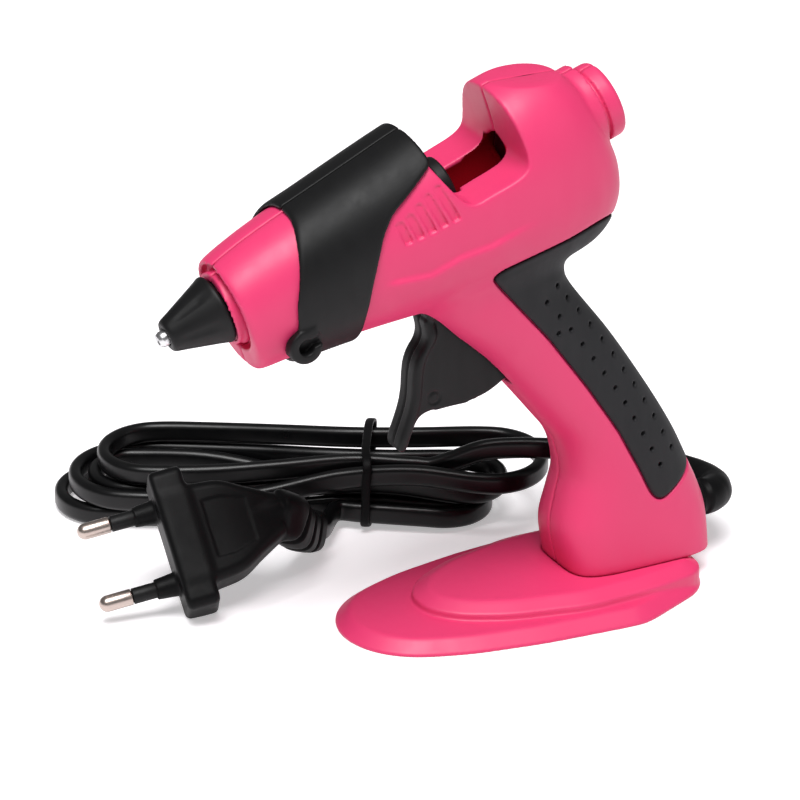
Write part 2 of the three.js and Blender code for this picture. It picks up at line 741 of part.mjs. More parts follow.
function gripHalves() {
  const outer = outerForm(0);
  const shell = outer.subtract(outerForm(gripDepth - fit));
  const grip = shell.intersect(gripZone(fit));
  return [
    grip.intersect(sideHalf(partingGap, far)),
    grip.intersect(sideHalf(-far, -partingGap)),
  ];
}

// ---------- Hot end ----------
function nozzleBody() {
  const n = nozzleSteel;
  return turned([
    [n.bore, 0], [n.tipRadius - 0.5, 0], [n.tipRadius, 0.5], [n.tipRadius, 4], [n.coneRadius, n.coneEnd],
    [n.shank, n.coneEnd], [n.shank, n.end], [n.shank - 1, n.end], [n.bore, n.coneEnd], [n.bore, 0],
  ]);
}

function capBody() {
  const n = nozzleSteel;
  return turned([
    [n.tipRadius + fit, cap.start], [cap.startRadius, cap.start], [cap.startRadius + 0.4, cap.start + 0.6],
    [cap.endRadius, cap.end], [cap.neck, cap.end], [cap.neck, cap.neckEnd],
    [n.shank + 1.2, cap.neckEnd], [n.shank + 1.2, n.coneEnd + 1], [n.coneRadius + fit, n.coneEnd + fit],
    [n.tipRadius + fit, 4 + fit], [n.tipRadius + fit, cap.start],
  ]);
}

function chamberBody() {
  const c = chamber;
  const n = nozzleSteel;
  const body = turned([
    [n.shank + fit, c.start], [c.flange, c.start], [c.flange, c.start + 2], [c.radius, c.start + 2],
    [c.radius, c.end], [c.bore, c.end], [c.bore, n.end + 6], [n.shank - 1, n.end + fit],
    [n.shank + fit, n.end + fit], [n.shank + fit, c.start],
  ]);
  const flat = barrelBox(heater.start - 2, heater.end + 2, -far, far, -far, -c.radius + 1);
  return body.subtract(flat);
}

const heaterTop = -chamber.radius + 1 - fit;

function heaterBody() {
  return barrelBox(
    heater.start, heater.end, -heater.halfWidth, heater.halfWidth, heaterTop - heater.thick, heaterTop,
  );
}

// A sprung strap that hooks over the chamber and presses the heater against its flat.
function heaterClipBody() {
  const { front, rear } = strapPlace;
  const low = heaterTop - heater.thick - fit;
  const r = chamber.radius + fit;
  const reach = heater.halfWidth + 1.6;
  const strap = barrelBox(front, rear, -reach, reach, low - clipSheet, low);
  const arms = [1, -1].map((side) => {
    const y0 = side > 0 ? reach - clipSheet : -reach;
    return barrelBox(front, rear, y0, y0 + clipSheet, low - clipSheet, 0);
  });
  const arch = turned([[r, front], [r + clipSheet, front], [r + clipSheet, rear], [r, rear], [r, front]])
    .intersect(barrelBox(front - 1, rear + 1, -far, far, -1.5, far));
  return strap.add(arms[0]).add(arms[1]).add(arch).subtract(bar(r, front - 1, rear + 1));
}

function sleeveBody() {
  const c = sleeve;
  const step = 1.2;
  const mouth = c.end - 5;
  return turned([
    [c.bore, c.start], [c.radius, c.start], [c.radius, mouth], [c.radius - step, mouth + step],
    [c.radius - step, c.end - 2 * step], [c.radius, c.end - 2 * step + tiny], [c.radius, c.end],
    [c.bore + step, c.end], [c.bore, c.end - step], [c.bore, c.start],
  ]);
}

// ---------- Feed ----------
function carriageBody() {
  const bottom = sled.top - sled.thick;
  let body = barrelBox(sled.start, sled.end, -sled.halfWidth, sled.halfWidth, bottom, sled.top);
  const ringBody = bar(yoke.radius, yoke.start, yoke.end);
  const neck = barrelBox(yoke.start, yoke.end, -sled.halfWidth, sled.halfWidth, bottom, -4);
  body = body.add(ringBody).add(neck).subtract(bar(yoke.bore, yoke.start - 1, yoke.end + 1));
  const tab = springTab;
  body = body.add(barrelBox(tab.front, tab.rear, -tab.halfWidth, tab.halfWidth, tab.bottom, bottom + 1));
  const middle = fingerPlace();
  const clear = finger.radius + fingerLug.gap;
  [-1, 1].forEach((side) => {
    const near = middle + side * clear;
    const far = near + side * fingerLug.thick;
    const lugBody = barrelBox(
      Math.min(near, far), Math.max(near, far), -finger.halfWidth, finger.halfWidth,
      bottom - fingerLug.reach, bottom + 1,
    );
    body = body.add(lugBody);
  });
  [-1, 1].forEach((side) => {
    const y0 = side > 0 ? ear.inner : -sled.halfWidth;
    const y1 = side > 0 ? sled.halfWidth : -ear.inner;
    body = body.add(barrelBox(ear.front - 1, ear.rear + half, y0, y1, bottom + 1, ear.top));
  });
  const [x, z] = along(jaw.place, jaw.pivot);
  return body.subtract(crossPin(jaw.pin + fit, x, z, -far, far));
}

function fingerPlace() {
  return (triggerHub.x - tip.x) * axisX + (triggerHub.z - tip.z) * axisZ;
}

function hubDrop() {
  return (triggerHub.z - tip.z) * axisX - (triggerHub.x - tip.x) * axisZ;
}

function jawBody() {
  const blade = barrelBox(
    jaw.place - jaw.thick * half, jaw.place + jaw.thick * half,
    -jaw.halfWidth, jaw.halfWidth, jaw.pivot, jaw.top,
  );
  const [x, z] = along(jaw.place, jaw.pivot);
  const pin = crossPin(jaw.pin, x, z, -sled.halfWidth, sled.halfWidth);
  const hub = crossPin(jaw.pin + 0.4, x, z, -jaw.halfWidth, jaw.halfWidth);
  return blade.add(pin).add(hub).subtract(bar(yoke.bore - 0.2, jaw.place - 4, jaw.place + 4));
}

function springBody() {
  const points = [];
  const perTurn = 8;
  const steps = spring.coils * perTurn;
  for (let i = 0; i <= steps; i += 1) {
    const share = i / steps;
    const angle = spring.coils * fullTurn * share;
    const s = spring.start + (spring.end - spring.start) * share;
    const [x, z] = along(s, spring.drop + spring.radius * Math.sin(angle));
    points.push(new THREE.Vector3(x, spring.radius * Math.cos(angle), z));
  }
  const lengthwise = new THREE.Vector3(axisX, 0, axisZ);
  return swept(points, () => [spring.wire, spring.wire], 5, 2, lengthwise);
}

// ---------- Trigger ----------
function triggerBody() {
  let body = plate(triggerOutline, -triggerHalfWidth, triggerHalfWidth);
  const { x, z } = triggerHub;
  const w = hubDrop();
  body = body.add(crossPin(triggerHub.radius, x, z, -triggerHalfWidth, triggerHalfWidth, roundSides));
  const s = fingerPlace();
  const topW = w + finger.length;
  const arm = barrelBox(s - finger.neck, s + finger.neck, -finger.halfWidth, finger.halfWidth, w, topW);
  const [tipX, tipZ] = along(s, topW);
  const knob = crossPin(finger.radius, tipX, tipZ, -finger.halfWidth, finger.halfWidth);
  body = body.add(arm).add(knob);
  return body.subtract(crossPin(triggerHub.bore, x, z, -far, far));
}

// ---------- Foot ----------
function mirrored(plan) {
  const other = plan.slice(1, -1).reverse().map(([x, y]) => [x, -y]);
  return plan.concat(other);
}

// A slab from a plan, drawn in at the top by a bevel.
function slab(plan, z0, z1, bevel) {
  const points = mirrored(plan);
  const centreX = points.reduce((sum, [x]) => sum + x, 0) / points.length;
  const layers = [[z0, 0], [z1 - bevel, 0], [z1, bevel]];
  const vertices = [];
  const faces = [];
  const n = points.length;
  layers.forEach(([z, inset]) => {
    points.forEach(([x, y]) => {
      const length = Math.hypot(x - centreX, y);
      vertices.push(x - (x - centreX) / length * inset, y - y / length * inset, z);
    });
  });
  for (let k = 0; k < 2; k += 1) {
    for (let i = 0; i < n; i += 1) {
      const a = k * n + i;
      const b = k * n + (i + 1) % n;
      faces.push(a, b, a + n, b, b + n, a + n);
    }
  }
  [[0, z0], [2, z1]].forEach(([k, z]) => {
    const centre = vertices.length / 3;
    vertices.push(centreX, 0, z);
    for (let i = 0; i < n; i += 1) {
      const a = k * n + i;
      const b = k * n + (i + 1) % n;
      if (k === 0) faces.push(centre, b, a);
      else faces.push(centre, a, b);
    }
  });
  const geometry = new THREE.BufferGeometry();
  geometry.setAttribute('position', new THREE.Float32BufferAttribute(vertices, 3));
  geometry.setIndex(faces);
  return facingOut(geometry);
}

function footBody() {
  let body = slab(footPlan, 0, footHeight, 1.2).add(slab(seatPlan, 1, seatHeight, 1.6));
  const under = slab(footPlan, -3, footHeight + 3, 0).intersect(box(-60, 90, -60, 60, -3, footHeight - footSkin));
  const inner = footPlan.map(([x, y]) => [x * 0.93, y * 0.93]);
  body = body.subtract(slab(inner, -3, footHeight - footSkin, 0).intersect(under));
  const seatInner = seatPlan.map(([x, y]) => [x * 0.86 + 1.4, y * 0.84]);
  body = body.subtract(slab(seatInner, 0, seatHeight - 2.3, 0));
  body = body.add(box(-40, 45, -footRib, footRib, 0, seatHeight - 3).intersect(slab(footPlan, 0, seatHeight - 3, 0)
    .intersect(joined(slab(footPlan, 0, footHeight - half, 0).intersect(box(-43, 47, -9, 9, -1, 9)), slab(seatPlan, 0, seatHeight - 2, 0)))));
  [-18, 6, 30].forEach((x) => {
    body = body.add(box(x, x + footRib, -17, 17, 0, seatHeight - 3).intersect(joined(
      slab(seatPlan, 0, seatHeight - 2, 0), slab(inner, 0, footHeight - 1, 0),
    )));
  });
  const pocket = handleForm(-fit).intersect(box(0, 80, -20, 20, handleSeat - pocketDepth, 30));
  body = body.subtract(pocket);
  const spigot = handleForm(wall + fit).subtract(handleForm(wall + fit + footSkin))
    .intersect(box(0, 80, -20, 20, handleSeat - pocketDepth - 1, handleSeat + 3));
  return body.add(spigot);
}

// ---------- Cord entry ----------
function reliefBody() {
  const points = reliefPath.map(([x, y, z]) => new THREE.Vector3(x, y, z));
  const body = swept(points, (k) => [reliefPath[k][3], reliefPath[k][3]], 12, 2, upright);
  return body;
}

// ---------- Cord ----------
const flatCord = () => [cordThin * half, cordWide * half];

// Along the hank, across it and up, seen from its middle.
function hankPoint(u, v, z) {
  const c = Math.cos(hank.turn);
  const s = Math.sin(hank.turn);
  return new THREE.Vector3(hank.x + u * c - v * s, hank.y + u * s + v * c, z);
}

function waistShare(u) {
  return Math.exp(-(((u - hank.waist) / hank.waistReach) ** 2));
}

// One place on the spiral: turns wound so far give layer, width and height.
function hankPlace(turns) {
  const wound = (turns - hank.begin) / hank.layerTurns;
  const layer = Math.min(Math.floor(wound + tiny * tiny), hank.layers - 1);
  const within = wound - layer;
  const climb = Math.min(1, Math.max(0, (within - 1 + hank.climbShare) / hank.climbShare));
  const level = layer + (layer < hank.layers - 1 ? climb * climb * (3 - 2 * climb) : 0);
  const inward = layer % 2 === 0 ? within : 1 - within;
  const radius = hank.endRadius - hank.pitch * inward * hank.layerTurns;
  const reach = hank.halfLength - hank.endRadius;
  const phase = (turns - Math.floor(turns)) * 4;
  const shift = hank.layerShift * level;
  let u = 0;
  let v = 0;
  if (phase < 1) {
    u = -reach + 2 * reach * phase;
    v = -radius;
  } else if (phase < 2) {
    const angle = (phase - 1) * Math.PI - Math.PI / 2;
    u = reach + radius * Math.cos(angle);
    v = radius * Math.sin(angle);
  } else if (phase < 3) {
    u = reach - 2 * reach * (phase - 2);
    v = radius;
  } else {
    const angle = (phase - 3) * Math.PI + Math.PI / 2;
    u = -reach + radius * Math.cos(angle);
    v = radius * Math.sin(angle);
  }
  u += shift * (u > 0 ? 1 : hank.leftShiftShare);
  const waist = waistShare(u);
  const drawn = v * (1 - hank.drawn * waist / radius);
  const lift = hank.lift * waist;
  return hankPoint(u, drawn, hank.floor + level * hank.layerPitch + lift);
}

function hankPoints() {
  const points = [];
  const stepsPerQuarter = [5, 8, 5, 8];
  let turns = hank.begin;
  while (turns < hank.end + tiny * tiny) {
    points.push(hankPlace(turns));
    const quarter = Math.floor((turns - Math.floor(turns)) * 4 + tiny * tiny) % 4;
    turns += 1 / 4 / stepsPerQuarter[quarter];
  }
  return points;
}

function leastGap(points) {
  const fine = new THREE.CatmullRomCurve3(points, false, 'centripetal').getSpacedPoints(points.length * 5);
  const run = [0];
  for (let i = 1; i < fine.length; i += 1) run.push(run[i - 1] + fine[i].distanceTo(fine[i - 1]));
  let least = Infinity;
  for (let i = 0; i < fine.length; i += 1) {
    for (let j = i + 1; j < fine.length; j += 1) {
      if (run[j] - run[i] > 4 * cordWide) {
        const level = Math.hypot(fine[i].x - fine[j].x, fine[i].y - fine[j].y) - cordThin;
        const rise = Math.abs(fine[i].z - fine[j].z) - cordWide;
        least = Math.min(least, Math.max(level, rise));
      }
    }
  }
  return least;
}

function cordHank() {
  const points = hankPoints();
  console.log(`hank: ${points.length} points, least gap ${leastGap(points).toFixed(2)} mm`);
  return swept(points, flatCord, 8, 3, upright);
}

// From the strain relief round to the top of the hank.
function cordLead() {
  const last = hankPoints().slice(-2);
  const heading = last[1].clone().sub(last[0]).normalize();
  const start = last[1].clone().addScaledVector(heading, fit);
  const list = [start, start.clone().addScaledVector(heading, cordThin)];
  leadOver.forEach(([u, v, z]) => list.push(hankPoint(u, v, z)));
  leadTable.forEach(([x, y, z]) => list.push(new THREE.Vector3(x, y, z)));
  const curve = new THREE.CatmullRomCurve3(list, false, 'centripetal');
  return swept(curve.getSpacedPoints(20), flatCord, 8, 3, upright);
}

// From the plug's neck into the lowest near strand of the hank.
function cordTail() {
  const first = hankPoints().slice(0, 2);
  const heading = first[1].clone().sub(first[0]).normalize();
  const end = first[0].clone().addScaledVector(heading, -fit);
  const neck = neckPoints().slice(-2);
  const out = neck[1].clone().sub(neck[0]).normalize();
  const list = [
    neck[1].clone().addScaledVector(out, fit), neck[1].clone().addScaledVector(out, cordWide),
    end.clone().addScaledVector(heading, -cordWide), end,
  ];
  const curve = new THREE.CatmullRomCurve3(list, false, 'centripetal');
  return swept(curve.getSpacedPoints(12), flatCord, 8, 3, upright);
}

// ---------- Plug ----------
function plugMatrix() {
  return framed(plugOrigin, pinAxis.clone().negate(), plugLong);
}

function plugPlace(body) {
  const geometry = asGeometry(body);
  geometry.applyMatrix4(plugMatrix());
  return facingOut(geometry);
}

function asGeometry(body) {
  const raw = body.getMesh();
  const geometry = new THREE.BufferGeometry();
  geometry.setAttribute('position', new THREE.BufferAttribute(new Float32Array(raw.vertProperties), 3));
  geometry.setIndex(Array.from(raw.triVerts));
  return geometry;
}

// Local: X runs from the pin face to the cord, Y joins the pins, Z is the thickness.
function plugBody() {
  const stations = plugTable.map(([x, low, high, width]) => [x, low, x, high, width]);
  const flat = loft(stations, 4, 16);
  let body = turnedFlat(flat);
  const panel = plugPanel;
  body = body.subtract(box(panel.start, panel.end, -panel.half, panel.half, panel.level, far));
  [-1, 1].forEach((side) => {
    const y = side * pinPitch * half;
    body = body.add(alongX(plugBoss.radius, -plugBoss.length, 1, y, roundSides));
    body = body.subtract(alongX(pinSleeve.radius + fit, -plugBoss.length - 1, pinMetal.root + fit, y));
  });
  return plugPlace(body).add(neckBody());
}

// The ribbed neck bends from the plug's back towards the floor.
function neckPoints() {
  const out = pinAxis.clone().negate();
  const first = plugOrigin.clone().addScaledVector(out, neck.start);
  const second = plugOrigin.clone().addScaledVector(out, neck.bend);
  const rest = neck.path.map((p) => new THREE.Vector3(...p));
  const curve = new THREE.CatmullRomCurve3([first, second, ...rest], false, 'centripetal');
  return curve.getSpacedPoints(neck.steps);
}

function neckBody() {
  return swept(neckPoints(), (k) => {
    const share = k / neck.steps;
    const rib = k > 4 && k < neck.steps - 1 && k % 4 < 2 ? neck.rib : 0;
    const wide = neck.wide[0] + (neck.wide[1] - neck.wide[0]) * share + rib;
    const thin = neck.thin[0] + (neck.thin[1] - neck.thin[0]) * share + rib;
    return [thin, wide];
  }, 12, 2.6, upright);
}

// Turns a body lofted with its sections upright so that they lie flat.
function turnedFlat(body) {
  return body.rotate([90, 0, 0]);
}

function alongX(radius, x0, x1, y, sides = smallSides) {
  const geometry = new THREE.CylinderGeometry(radius, radius, x1 - x0, sides);
  geometry.rotateZ(Math.PI / 2);
  geometry.translate((x0 + x1) * half, y, 0);
  return asSolid(geometry);
}

function pinBody(side) {
  const sleeveEnd = -pinSleeve.length;
  const y = side * pinPitch * half;
  const shaft = alongX(pinMetal.radius - pinStep, sleeveEnd - 1, pinMetal.root, y);
  const metal = alongX(pinMetal.radius, sleeveEnd - pinMetal.length, sleeveEnd - fit, y);
  const nose = new THREE.SphereGeometry(pinMetal.radius, smallSides, 8);
  nose.rotateZ(Math.PI / 2);
  nose.translate(sleeveEnd - pinMetal.length, y, 0);
  return plugPlace(shaft.add(metal).add(asSolid(nose)));
}

function pinSleeveBody(side) {
  const y = side * pinPitch * half;
  const tube = alongX(pinSleeve.radius, -pinSleeve.length, pinMetal.root - 1, y);
  return plugPlace(tube.subtract(alongX(pinMetal.radius - pinStep + fit * half, -far, far, y)));
}

// ---------- Fastenings and wiring inside ----------
function housingScrews() {
  return screwPlaces().map(([x, z]) => {
    const shank = crossPin(screw.shank, x, z, screw.sink - screw.length, screw.sink + half);
    const head = crossPin(screw.head, x, z, screw.sink + fit, screw.sink + 2);
    const slotA = box(x - 1.8, x + 1.8, screw.sink + 1.1, screw.sink + 4, z - 0.4, z + 0.4);
    const slotB = box(x - 0.4, x + 0.4, screw.sink + 1.1, screw.sink + 4, z - 1.8, z + 1.8);
    return shank.add(head).subtract(slotA).subtract(slotB);
  });
}

// The tie stands across the hank at its waist.
function tieBody() {
  const outer = [];
  const inner = [];
  const count = 24;
  const middle = tie.top * half + tie.floor;
  for (let i = 0; i < count; i += 1) {
    const [c, s] = superPoint(fullTurn * i / count, 7);
    outer.push([tie.halfAcross * c, middle + (tie.top * half) * s]);
    inner.push([(tie.halfAcross - tie.thick) * c, middle + (tie.top * half - tie.thick) * s]);
  }
  const ring = plate(outer, -tie.halfWidth, tie.halfWidth).subtract(plate(inner, -far, far));
  const place = hankPoint(hank.waist, 0, 0);
  return ring.rotate([0, 0, hank.turn * 180 / Math.PI + 90]).translate([place.x, place.y, 0]);
}

function wireBody(side) {
  const list = wireTable.map(([x, y, z]) => [x, side * y, z]);
  return swept(smooth(list, 18), () => [wireRadius, wireRadius], 5, 2, new THREE.Vector3(0, 1, 0));
}

const pink = { color: 0xd9376e, roughness: 0.45, metalness: 0 };
const black = { color: 0x1b1b1d, roughness: 0.5, metalness: 0 };
const soft = { color: 0x232325, roughness: 0.8, metalness: 0 };
const steel = { color: 0xb9bcc0, roughness: 0.3, metalness: 1 };
const castMetal = { color: 0x9a9da1, roughness: 0.5, metalness: 1 };
const brown = { color: 0x6b4226, roughness: 0.5, metalness: 0 };
const blue = { color: 0x2d5fa8, roughness: 0.5, metalness: 0 };
const ceramic = { color: 0xe8e4da, roughness: 0.7, metalness: 0 };

const group = new THREE.Group();
group.name = 'mini_hot_glue_applicator';
const [leftHousing, rightHousing] = housingHalves();
group.add(asMesh('left_housing', leftHousing, pink));
group.add(asMesh('right_housing', rightHousing, pink));
const [leftBand, rightBand] = bandHalves();
group.add(asMesh('left_band', leftBand, black));
group.add(asMesh('right_band', rightBand, black));
const [leftGrip, rightGrip] = gripHalves();
group.add(asMesh('left_grip', leftGrip, soft));
group.add(asMesh('right_grip', rightGrip, soft));
group.add(asMesh('nozzle', nozzleBody(), steel));
group.add(asMesh('nozzle_cap', capBody(), black));
group.add(asMesh('melt_chamber', chamberBody(), castMetal));
group.add(asMesh('ptc_heater', heaterBody(), ceramic));
group.add(asMesh('heater_clip', heaterClipBody(), steel));
group.add(asMesh('inlet_sleeve', sleeveBody(), black));
group.add(asMesh('carriage', carriageBody(), black));
group.add(asMesh('clamp_jaw', jawBody(), steel));
group.add(asMesh('return_spring', springBody(), steel));
group.add(asMesh('trigger', triggerBody(), black));
const pinHalf = 7.2;
group.add(asMesh('trigger_pin', crossPin(triggerPinRadius, triggerHub.x, triggerHub.z, -pinHalf, pinHalf), steel));
group.add(asMesh('foot', footBody(), pink));
group.add(asMesh('strain_relief', reliefBody(), black));
housingScrews().forEach((body, i) => {
  group.add(asMesh(`housing_screw_${i + 1}`, body, steel));
});
group.add(asMesh('cord_hank', cordHank(), black));
group.add(asMesh('cord_lead', cordLead(), black));
group.add(asMesh('cord_tail', cordTail(), black));
group.add(asMesh('cord_tie', tieBody(), black));
group.add(asMesh('lead_wire_live', wireBody(1), brown));
group.add(asMesh('lead_wire_neutral', wireBody(-1), blue));
group.add(asMesh('plug_body', plugBody(), black));
[1, -1].forEach((side, i) => {
  group.add(asMesh(`plug_pin_${i + 1}`, pinBody(side), steel));
  group.add(asMesh(`pin_sleeve_${i + 1}`, pinSleeveBody(side), black));
});

export default group;
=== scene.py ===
"""Visual model of a mini hot glue applicator: moulded housing, band, grips, foot, feed and cord set."""

import math

import bpy
import numpy as np
import openvdb
from bpy.props import FloatProperty, FloatVectorProperty, IntProperty, PointerProperty
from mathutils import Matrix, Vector


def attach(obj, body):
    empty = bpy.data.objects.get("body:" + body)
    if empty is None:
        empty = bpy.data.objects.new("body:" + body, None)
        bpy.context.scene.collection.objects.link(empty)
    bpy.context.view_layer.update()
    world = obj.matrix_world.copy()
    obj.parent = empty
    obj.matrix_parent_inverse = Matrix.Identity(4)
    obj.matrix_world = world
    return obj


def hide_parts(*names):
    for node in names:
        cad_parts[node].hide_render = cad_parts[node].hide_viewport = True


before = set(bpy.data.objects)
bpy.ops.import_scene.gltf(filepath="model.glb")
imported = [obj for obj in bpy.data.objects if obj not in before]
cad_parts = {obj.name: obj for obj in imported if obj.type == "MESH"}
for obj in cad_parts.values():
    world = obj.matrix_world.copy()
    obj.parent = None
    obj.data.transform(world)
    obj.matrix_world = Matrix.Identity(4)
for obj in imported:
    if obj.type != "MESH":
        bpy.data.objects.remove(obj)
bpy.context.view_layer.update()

bl_info = {
    "name": "Mini hot glue applicator",
    "version": (1, 0, 0),
    "blender": (4, 5, 0),
    "location": "View3D > Sidebar > Applicator",
    "description": "Dresses the packed applicator with its moulded parts, cord set and studio",
    "category": "Object",
}

MM = 0.001
TURN = 2 * math.pi

# ---------- Shape tables, millimetres ----------
# Points seen from the side are X and Z. Points of the barrel lie along and above its axis, from the tip.
TIP = (-90.9, 85.35)
TILT = math.radians(19.5)
AX, AZ = math.cos(TILT), math.sin(TILT)

# Stations of the barrel and the handle: two opposite points and half the width.
BARREL = [
    (17.4, 9.1, 17.1, -15.2, 11.3), (18.5, 10.6, 18.3, -16.8, 12.6), (25.7, 12.2, 25.7, -17.9, 13.5),
    (34.8, 13.4, 34.8, -19.4, 14.5), (44.5, 14.3, 44.5, -21.4, 15), (58.4, 15.7, 58.4, -24.7, 16),
    (69.6, 16.8, 69.6, -27.3, 16.3), (80, 17.2, 80, -29.2, 16.8), (92.5, 17.2, 92.5, -30.7, 17.2),
    (98.2, 17.2, 98, -31, 16.9), (103.7, 16.3, 104.4, -30.6, 15.8), (107.8, 14.4, 109.6, -28.4, 14.2),
    (111.2, 11.1, 113.8, -24.4, 11.9), (113.6, 5.8, 116.5, -18.8, 8.2), (114.4, 1.2, 117.2, -15.5, 5),
]
BARREL_POWER = 2.35
HANDLE = [
    (-26, 85, 9, 95, 12.6), (-24.2, 80.2, 10.7, 87.6, 12.5), (-19, 74.6, 12.9, 81.7, 12.2),
    (-8.8, 65, 24.2, 66.9, 11.6), (5.4, 47.9, 34.5, 51.6, 11.6), (10.8, 40.4, 41.6, 39.8, 11.8),
    (12.8, 32, 45.8, 31.3, 12), (11.6, 25.6, 49.4, 23.6, 12), (10.4, 17.2, 51.2, 16.6, 12.1),
    (12.8, 6.5, 51.4, 6.5, 12.4),
]
HANDLE_POWERS = (2.5, 2.5, 2.5, 2.5, 2.5, 2.5, 2.5, 2.7, 3.4, 4.6)
WINDOW = [
    (69.4, 40), (69.9, 13), (72.4, 5), (74, 1.6), (76, -0.2), (80, 0.1), (88, 0.3), (91, 1.5), (92, 4),
    (92.5, 9), (92.5, 40),
]
VENTS = [
    (58.6, 4.8, 59.1, -0.7), (61.4, 5.3, 62.1, -0.9), (64.3, 6.3, 65.2, -1.1), (67.1, 7.2, 68.3, -1.2),
    (70, 7.8, 71.5, -1.3),
]
CREASE_HEIGHT = 0.8
CREASE = [(50, -7.2), (53.4, -7.9), (60.5, -10.3), (68.5, -10), (76.1, -11.1), (84.1, -11.1), (90, -11.4)]
BAND = [
    (38, 30), (38, 14.8), (35.3, 11.2), (32.7, 6.4), (28.9, -0.9), (26.8, -7.9), (25.4, -14), (24.6, -28),
    (40, -28), (40.9, -19.6), (43.2, -12.6), (46.6, -5.9), (50.5, 0.2), (53.4, 4.2), (57.3, 7.4),
    (63.6, 9.7), (71, 12.6), (70.6, 30),
]
BEARING, BEARING_OUT = (27.4, -11.4), 15.4
GRIP = [
    (-13.6, 90.6), (2.9, 71.6), (13.7, 57), (22.4, 44), (28.5, 32.4), (31.6, 26), (33.6, 23.8), (36, 23.7),
    (44.3, 29), (60, 39), (60, 70), (36, 95.5), (24.7, 97.6), (18.3, 100), (13.7, 99.6), (-11.2, 92.6),
]
TRIGGER = [
    (-25.6, 79), (-24.3, 75.2), (-24.9, 72.6), (-26.6, 70.4), (-27.8, 67.6), (-28.2, 64.2), (-28.3, 60.4),
    (-28.9, 56.8), (-30.2, 53), (-31.5, 49.6), (-31.9, 47.8), (-31.4, 46.6), (-30.2, 46.6), (-29.2, 48.6),
    (-28, 51.8), (-26.5, 54.5), (-24, 55.6), (-18.6, 55.7), (-13.5, 55.9), (-8.2, 57.1), (-3.9, 59.6),
    (2.5, 64.4), (-9, 75), (-17.5, 81.4),
]
# Trigger: its hinge, how far its finger rises over that, and the round mark on its side.
HUB = (-22.2, 82.3)
FINGER = 13.5
TRIGGER_MARK = (-22.6, 58.9)
FOOT = [
    (-45.3, 0), (-44.7, 4.4), (-43, 9), (-39.6, 13.6), (-34, 17.7), (-22, 21.9), (-4, 25.1), (18, 27),
    (23, 27.1), (43, 18.3), (47.8, 9), (48.2, 0),
]
# Foot: middles of the ribs across it, heights of rim and seat, and the mesh cell.
RIBS = (-17.1, 6.9, 30.9)
FOOT_TOP, SEAT_TOP, FOOT_CELL = 3.4, 7, 0.42
SEAT = [(-22.6, 0), (-21.9, 4), (-17.6, 8.9), (-8, 13.7), (10.5, 18), (28, 17.4), (42.5, 14.8), (43.5, 0)]
# Strain relief: X, Y, Z and radius along it.
RELIEF = [
    (45.6, 0, 15.4, 5.6), (47.6, 0, 15.4, 5.6), (47.7, 0, 15.4, 4.6), (52.6, 0, 15.4, 4.6),
    (52.7, 0, 15.4, 3.9), (53.7, 0, 15.4, 3.9), (53.8, 0, 15.4, 4.6), (56, 0.5, 15.1, 4.5),
    (59, 2.4, 14.7, 4.4), (61, 6, 14.4, 4.2), (61.6, 10.5, 14, 4.1), (61, 15, 13.7, 4),
    (59.4, 20, 13.4, 3.9),
]
# Inside the barrel: radius, start and end of each bore, and for the inlet ring also the height of its middle.
BORES = [(6.5, 0, 20.3), (8.35, 12, 16.2), (7.7, 19, 63), (7.0, 61, 77.4)]
CHANNEL = dict(radius=5.5, start=76.7, end=91.6, open_end=89.6)
STICK_BORE = (4.7, 80, 140)
FEED_BAY = (54, 112, -11.1, -7.9)
HEATER_FLAT = -6.2
INLET_STEPS = [(10.1, 100, 115.6, -0.4), (8.3, 115, 118, -0.9), (9.3, 116.8, 120.9, -1.3)]
INLET_BEVEL = 129.5
OPENING = [
    (-36, 79), (-36, 40), (-20, 44), (-12, 50), (-4, 58), (2.5, 62.8), (9, 69), (2, 80), (-10, 90), (-28, 88),
    (-29, 80),
]
RELIEF_HOLE = (4.95, 15.4, 44)
NOSE_GROOVE = dict(drop=-0.8, radius=9.9, half_depth=0.8, place=17.2, half_width=2.2)
BARREL_SCREWS = [(50, -18), (106, -16)]
HANDLE_SCREWS = [(11.5, 49.5), (22, 30)]
DIMPLES = [
    (5.7, 84.3), (2.2, 81.3), (8.8, 80.4), (5.8, 77), (12.1, 76.5), (5.5, 72.9), (9, 73), (15.4, 72.2),
    (12.3, 68.6), (18.7, 67.8), (15.4, 64.3), (21.8, 63.4), (18.4, 60), (24.7, 58.9), (21.5, 55.6),
    (27.7, 54.5), (24.3, 51.2), (30.5, 49.9), (26.8, 46.7), (33.2, 45.3), (29.3, 42.2), (35.7, 40.7),
    (31.8, 37.7), (38.2, 36.2), (34.3, 33.1),
]

# Cord: the hank, the lead over it and the tail to the plug.
HANK = dict(
    x=-29.7, y=72.9, turn=math.radians(-30), half_length=56, end_radius=16.6, pitch=4.9, layers=3,
    layer_turns=1.5, layer_pitch=5.6, layer_shift=7, left_shift=0.8, floor=3, lift=1.5, waist=25.5,
    waist_reach=26, drawn=5.4, climb=0.08, begin=0.2, end=4.2,
)
LEAD_OVER = [(47, -7.6, 17.4), (54.5, -8, 20.6), (63, -8, 21.5), (72, -7.5, 21.3)]
LEAD = [
    (40, 31.6, 18.6), (49, 31.2, 15.4), (55.6, 28.6, 13.5), (58.3, 24.6, 13.15), (59.3, 20.4, 13.35),
    (59.45, 19.6, 13.45),
]
PLUG_ORIGIN = np.array((-74.9, 34.8, 15.4))
PIN_AXIS = np.array((-0.965, 0.2, -0.17))
PLUG_LONG = np.array((0.03, -0.69, -0.72))
PLUG_FACE = dict(half_width=17.6, half_height=6.85, half_depth=4.1)
